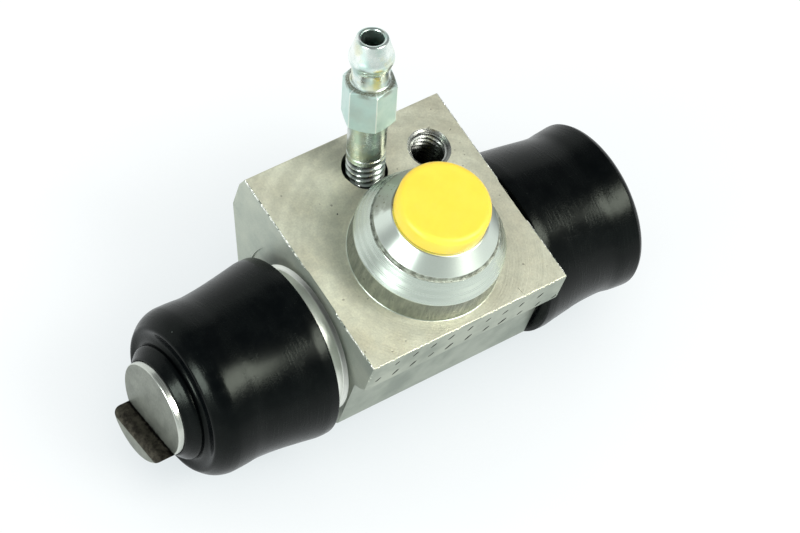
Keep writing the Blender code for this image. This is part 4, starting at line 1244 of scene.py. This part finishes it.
def platedMaterial(tilt, foot):
    # zinc plate with turning marks about the screw's own axis
    made, tree, shader, place = newSurface("zincPlate", 1.0, 0.27)
    shift = (0.0, -foot * math.cos(tilt), -foot * math.sin(tilt))
    place = put(tree, "Mapping", {"Vector": place, "Rotation": (tilt, 0.0, 0.0),
                                  "Location": shift}).outputs[0]
    blotch = use(tree, blotchGroup, {"Vector": place, "Patch Size": 0.0028, "Grain Size": 0.00025})
    moved = put(tree, "Mapping", {"Vector": place, "Location": (0.03, 0.05, 0.02)}).outputs[0]
    other = use(tree, blotchGroup, {"Vector": moved, "Patch Size": 0.0034, "Grain Size": 0.0002})
    rings = use(tree, turnedGroup, {"Vector": place, "Pitch": 0.0002, "Wander": 0.4})
    colour = mixColour(tree, blotch["Patch"], platedLook["silver"], platedLook["green"])
    s = screwSize
    hexLow, hexHigh = s["hexBottom"] * mm, (s["hexBottom"] + s["hexHeight"]) * mm
    parts = put(tree, "SeparateXYZ", {"Vector": place}).outputs
    height = parts["Z"]
    radius = aboutZ(tree, parts)[1]
    # bluish on the hexagon, yellow stains and turning marks on the round parts
    edge = platedZones["edge"]
    onHexagon = times(tree, ramp(tree, height, hexLow, hexLow + 2 * edge),
                      ramp(tree, height, hexHigh + edge, hexHigh - edge))
    colour = tinted(tree, onHexagon, 0.8, colour, platedLook["green"])
    stained = times(tree, minus(tree, 1.0, onHexagon), 0.4)
    colour = mixColour(tree, times(tree, ramp(tree, other["Patch"], 0.55, 1.0), stained), colour,
                       platedLook["yellow"])
    colour = mixColour(tree, times(tree, rings["Broad"], times(tree, stained, 0.3)),
                       colour, platedLook["dark"])
    # painted shade under the hexagon
    colour = mixColour(tree, ramp(tree, height, *platedZones["shaded"], 0.45, 0.0), colour,
                       platedLook["dark"])
    # painted shade in the roots of the thread, a brown ring on the hexagon's top and painted highlights along
    # the corners of its sides
    root = times(tree, ramp(tree, radius, *platedZones["root"]), ramp(tree, height, *platedZones["threaded"]))
    colour = tinted(tree, root, 0.92, colour, platedLook["root"])
    crown = times(tree, ramp(tree, height, hexHigh - 11 * edge, hexHigh - 6 * edge),
                  ramp(tree, radius, s["neck"] * mm + edge, s["neck"] * mm + 3 * edge))
    crown = times(tree, crown, ramp(tree, radius, *platedZones["ring"]))
    crown = times(tree, crown, ramp(tree, height, hexHigh + 8 * edge, hexHigh + 4 * edge))
    crown = times(tree, crown, plus(tree, times(tree, blotch["Grain"], 0.5), 0.4))
    colour = mixColour(tree, crown, colour, platedLook["brown"])
    angle = minus(tree, number(tree, "ARCTAN2", parts["Y"], parts["X"]), math.radians(s["hexTurn"]))
    nearCorner = number(tree, "PINGPONG", number(tree, "DIVIDE", angle, math.pi / 3), 0.5)
    corner = times(tree, ramp(tree, nearCorner, 0.03, 0.012), ramp(tree, height, hexLow, hexLow + 4 * edge))
    corner = times(tree, corner, ramp(tree, height, hexHigh + edge, hexHigh - 4 * edge))
    colour = tinted(tree, corner, 0.7, colour, platedLook["corner"])
    relief = plus(tree, times(tree, blotch["Grain"], 0.25), times(tree, rings["Rings"], 0.5))
    relief = times(tree, relief, minus(tree, 1.0, times(tree, onHexagon, 0.8)))
    roughness = plus(tree, ramp(tree, blotch["Patch"], 0.0, 1.0, 0.22, 0.34), times(tree, onHexagon, 0.2))
    finishSurface(tree, shader, colour, roughness, relief, 0.000006)
    return made


def screwRings():
    # up the drilled bore, round the tip and down the outside to the seat
    s = screwSize
    hexTop = s["hexBottom"] + s["hexHeight"]
    tip = hexTop + s["nippleLength"]
    bulb = tip - s["bulbSetback"]
    flat = s["acrossFlats"] / 2
    corner = flat / math.cos(math.pi / 6)
    hexTurn = math.radians(s["hexTurn"])

    def hexagon(limit):
        def radius(angle):
            local = (angle - hexTurn) % (math.pi / 3) - math.pi / 6
            return min(flat / math.cos(local), limit) * mm
        return radius

    def thread(height):
        fade = min(1.0, max(0.0, (s["threadTop"] - height) / 0.9))

        def radius(angle):
            depth = (s["major"] - s["minor"]) * threadWave(height, angle, s["pitch"])
            return (s["major"] - depth * fade) * mm
        return radius

    rings = scaled([(0.0, -6.0), (0.75, -5.6), (0.8, -5.2), (0.8, s["hexBottom"]),
                    (s["bore"] - 0.1, hexTop - 6.0), (s["bore"], hexTop - 5.7), (s["bore"], tip - 0.4),
                    (s["bore"] + 0.03, tip - 0.2)])
    nipple = [(s["bore"] + 0.12, tip - 0.06), (s["bore"] + 0.3, tip), (s["tip"] - 0.28, tip),
              (s["tip"] - 0.06, tip - 0.12), (s["tip"] + 0.05, tip - 0.4), (s["tip"] + 0.22, tip - 0.95),
              (s["bulb"] - 0.3, bulb + 1.0), (s["bulb"] - 0.08, bulb + 0.4), (s["bulb"], bulb - 0.05),
              (s["bulb"] - 0.02, bulb - 0.5), (s["bulb"] - 0.2, bulb - 0.85), (s["neck"] + 0.3, bulb - 1.2),
              (s["neck"] + 0.08, bulb - 1.5), (s["neck"], bulb - 1.9)]
    rings += scaled(through(nipple, 3))
    rings += scaled([(s["neck"], hexTop + 0.35), (s["neck"] + 0.06, hexTop + 0.12),
                     (s["neck"] + 0.2, hexTop)])
    count = 9
    chamfer = (corner - flat + 0.35) / s["hexSlope"]
    lows = [chamfer * k / count for k in range(count + 1)]
    for low in lows:
        rings.append((hexagon(flat - 0.35 + low * s["hexSlope"]), (hexTop - low) * mm))
    for low in reversed(lows):
        rings.append((hexagon(flat - 0.35 + low * s["hexSlope"]), (s["hexBottom"] + low) * mm))
    rings += scaled([(s["shank"] + 0.12, s["hexBottom"]), (s["shank"] + 0.02, s["hexBottom"] - 0.14),
                     (s["shank"], s["hexBottom"] - 0.4), (s["shank"], s["threadTop"] + 0.75),
                     (s["shank"] - 0.1, s["threadTop"] + 0.6), (s["shank"] - 0.1, s["threadTop"] + 0.42),
                     (s["shank"], s["threadTop"] + 0.3)])
    lowest = -(s["noseDepth"] - 2.4)
    for k in range(int((s["threadTop"] - lowest) / 0.1) + 1):
        height = s["threadTop"] - 0.1 * k
        rings.append((thread(height), height * mm))
    rings += scaled([(s["minor"], lowest - 0.2), (s["minor"] - 0.1, lowest - 0.5),
                     (s["noseRadius"], -s["noseDepth"]), (0.0, -s["noseDepth"])])
    return rings


def makeBleedScrew():
    screw = skin("bleed_screw_plated", screwRings(), screwSize["steps"],
                 turned=math.radians(screwSize["hexTurn"]))
    tilt, foot = math.radians(bleedHole["tilt"]), bleedHole["y"] * mm
    screw.data.transform(Matrix.Translation((0.0, foot, 0.0)) @ Matrix.Rotation(-tilt, 4, "X"))
    screw.data.materials.append(platedMaterial(tilt, foot))
    shade(screw, 24.0)
    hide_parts("bleed_screw")
    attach(screw, "bleed_screw")


makeBleedScrew()
print("bleed screw ready")


# port plug

plugSize = {"radius": 6.85, "bottom": 11.13, "edge": 0.9, "stem": 4.3, "rib": 4.47, "stemLength": 7.3,
            "hollow": 3.1, "steps": 144}
plugLook = {"top": (0.88, 0.635, 0.066), "deep": (0.82, 0.56, 0.036), "speck": (0.45, 0.36, 0.06)}


def plugMaterial():
    # soft moulded plastic that lets a little light through
    made, tree, shader, place = newSurface("plugPlastic", 0.0, 0.34)
    blotch = use(tree, blotchGroup, {"Vector": place, "Patch Size": 0.004, "Grain Size": 0.0004})
    specks = use(tree, speckGroup, {"Vector": place, "Spacing": 0.0024, "Size": 0.06, "Share": 0.3})
    colour = tinted(tree, blotch["Patch"], 0.4, plugLook["top"], plugLook["deep"])
    colour = tinted(tree, specks["Mask"], 0.4, colour, plugLook["speck"])
    finishSurface(tree, shader, colour, ramp(tree, blotch["Grain"], 0.0, 1.0, 0.4, 0.5), blotch["Patch"],
                  0.00002)
    shader.inputs["Subsurface Weight"].default_value = 0.35
    shader.inputs["Subsurface Radius"].default_value = (0.8, 0.55, 0.08)
    shader.inputs["Subsurface Scale"].default_value = 0.0015
    return made


def makePlug():
    p = plugSize
    top = plugTop / mm
    edge = [(p["radius"] - p["edge"] + p["edge"] * math.sin(a), top - p["edge"] + p["edge"] * math.cos(a))
            for a in (math.radians(9 * k) for k in range(11))]
    foot = p["bottom"] - p["stemLength"]
    rings = [(0.0, top - 0.05), (p["radius"] * 0.6, top - 0.04), (p["radius"] - p["edge"] - 0.5, top - 0.03),
             (p["radius"] - p["edge"] - 0.2, top - 0.01)] + edge
    rings += [(p["radius"], p["bottom"] + 0.35), (p["radius"] - 0.1, p["bottom"] + 0.1),
              (p["radius"] - 0.35, p["bottom"]), (p["stem"] + 0.2, p["bottom"]),
              (p["stem"], p["bottom"] - 0.2)]
    for k in range(3):
        ribTop = p["bottom"] - 1.4 - 1.6 * k
        rings += [(p["stem"], ribTop), (p["rib"], ribTop - 0.15), (p["rib"], ribTop - 0.35),
                  (p["stem"], ribTop - 0.7)]
    rings += [(p["stem"], foot + 0.8), (p["stem"] - 0.25, foot + 0.1), (p["stem"] - 0.5, foot),
              (p["hollow"] + 0.15, foot), (p["hollow"], foot + 0.15), (p["hollow"], p["bottom"] + 0.9),
              (p["hollow"] - 0.4, p["bottom"] + 1.2), (0.0, p["bottom"] + 1.2)]
    plug = skin("port_plug_plastic", scaled(rings), p["steps"])
    plug.data.materials.append(plugMaterial())
    shade(plug, 35.0, weighted=False)
    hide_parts("port_plug")
    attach(plug, "port_plug")


makePlug()
print("port plug ready")


# table, light and camera

tableSize = {"half": 1.6, "reach": 2.2, "height": -0.0276, "bend": 0.3, "rise": 1.2}
tableLook = {"light": (0.088, 0.088, 0.088), "dark": (0.08, 0.081, 0.083), "glow": (0.965, 0.995, 1.0),
             "shaded": (0.62, 0.68, 0.70), "shadeReach": 0.034, "glowStrength": 0.93}
lightSetup = {
    "key": {"toward": (0.39, -0.50, 0.77), "away": 0.62, "size": (0.32, 0.24), "power": 4.3,
            "colour": (1.0, 0.99, 0.94)},
    "fill": {"toward": (-0.90, -0.06, 0.42), "away": 0.62, "size": (0.28, 0.22), "power": 3.4,
             "colour": (0.93, 0.98, 0.98)},
}
worldLook = {"above": (0.24, 0.25, 0.255), "front": (0.68, 0.73, 0.72), "behind": (0.26, 0.275, 0.28),
             "strength": 1.0}
cameraSetup = {"place": (-0.22958, -0.16750, 0.43998), "right": (0.81470, -0.53970, 0.21209),
               "down": (-0.38722, -0.77858, -0.49383), "lens": 164.97}


def tableMaterial():
    made, tree, shader, place = newSurface("tablePaper", 0.0, 0.75)
    blotch = use(tree, blotchGroup, {"Vector": place, "Patch Size": 0.05, "Grain Size": 0.0005})
    colour = mixColour(tree, blotch["Patch"], tableLook["light"], tableLook["dark"])
    finishSurface(tree, shader, colour, None, blotch["Grain"], 0.000004)
    shader.inputs["Specular IOR Level"].default_value = 0.1
    # the table glows evenly; an occlusion mask paints shadow on it near the part
    near = put(tree, "AmbientOcclusion", {"Distance": tableLook["shadeReach"]}, samples=12).outputs["AO"]
    glow = mixColour(tree, near, tableLook["shaded"], tableLook["glow"])
    tree.links.new(glow, shader.inputs["Emission Color"])
    shader.inputs["Emission Strength"].default_value = tableLook["glowStrength"]
    return made


def makeTable():
    # flat sheet that turns up far behind the part
    t = tableSize
    verts, faces = [], []
    path = [(-t["half"], 0.0), (t["half"], 0.0)]
    path += [(t["half"] + t["bend"] * math.sin(a), t["bend"] * (1 - math.cos(a)))
             for a in (math.radians(15 * k) for k in range(1, 7))]
    path.append((t["half"] + t["bend"], t["rise"]))
    for y, z in path:
        verts += [(-t["reach"], y, z + t["height"]), (t["reach"], y, z + t["height"])]
    for i in range(len(path) - 1):
        faces.append((2 * i, 2 * i + 1, 2 * i + 3, 2 * i + 2))
    table = newObject("table", verts, faces)
    table.data.materials.append(tableMaterial())
    table.data.shade_smooth()


def makeLights():
    for name, look in lightSetup.items():
        light = bpy.data.lights.new(name, "AREA")
        light.shape = "RECTANGLE"
        light.size, light.size_y = look["size"]
        light.energy = look["power"]
        light.color = look["colour"]
        lamp = bpy.data.objects.new(name, light)
        scene.collection.objects.link(lamp)
        toward = Vector(look["toward"]).normalized()
        lamp.location = toward * look["away"]
        lamp.rotation_euler = toward.to_track_quat("Z", "Y").to_euler()
    world = bpy.data.worlds.new("studio")
    world.use_nodes = True
    tree = world.node_tree
    back = tree.nodes["Background"]
    back.inputs["Strength"].default_value = worldLook["strength"]
    toward = put(tree, "SeparateXYZ", {0: put(tree, "TexCoord").outputs["Generated"]}).outputs
    side = mixColour(tree, ramp(tree, toward["Y"], -0.5, 0.2), worldLook["front"], worldLook["behind"])
    tree.links.new(mixColour(tree, ramp(tree, toward["Z"], 0.2, 0.62), side, worldLook["above"]),
                   back.inputs["Color"])
    scene.world = world


def makeCamera():
    c = cameraSetup
    right, down = Vector(c["right"]).normalized(), Vector(c["down"]).normalized()
    back = right.cross(-down)
    camera = bpy.data.cameras.new("camera")
    camera.lens = c["lens"]
    camera.sensor_width = 36.0
    camera.clip_start = 0.01
    holder = bpy.data.objects.new("camera", camera)
    scene.collection.objects.link(holder)
    place = c["place"]
    holder.matrix_world = Matrix(((right.x, -down.x, back.x, place[0]), (right.y, -down.y, back.y, place[1]),
                                  (right.z, -down.z, back.z, place[2]), (0.0, 0.0, 0.0, 1.0)))
    scene.camera = holder


makeTable()
makeLights()
makeCamera()
scene.view_settings.view_transform = "Standard"
print("table, light and camera ready")
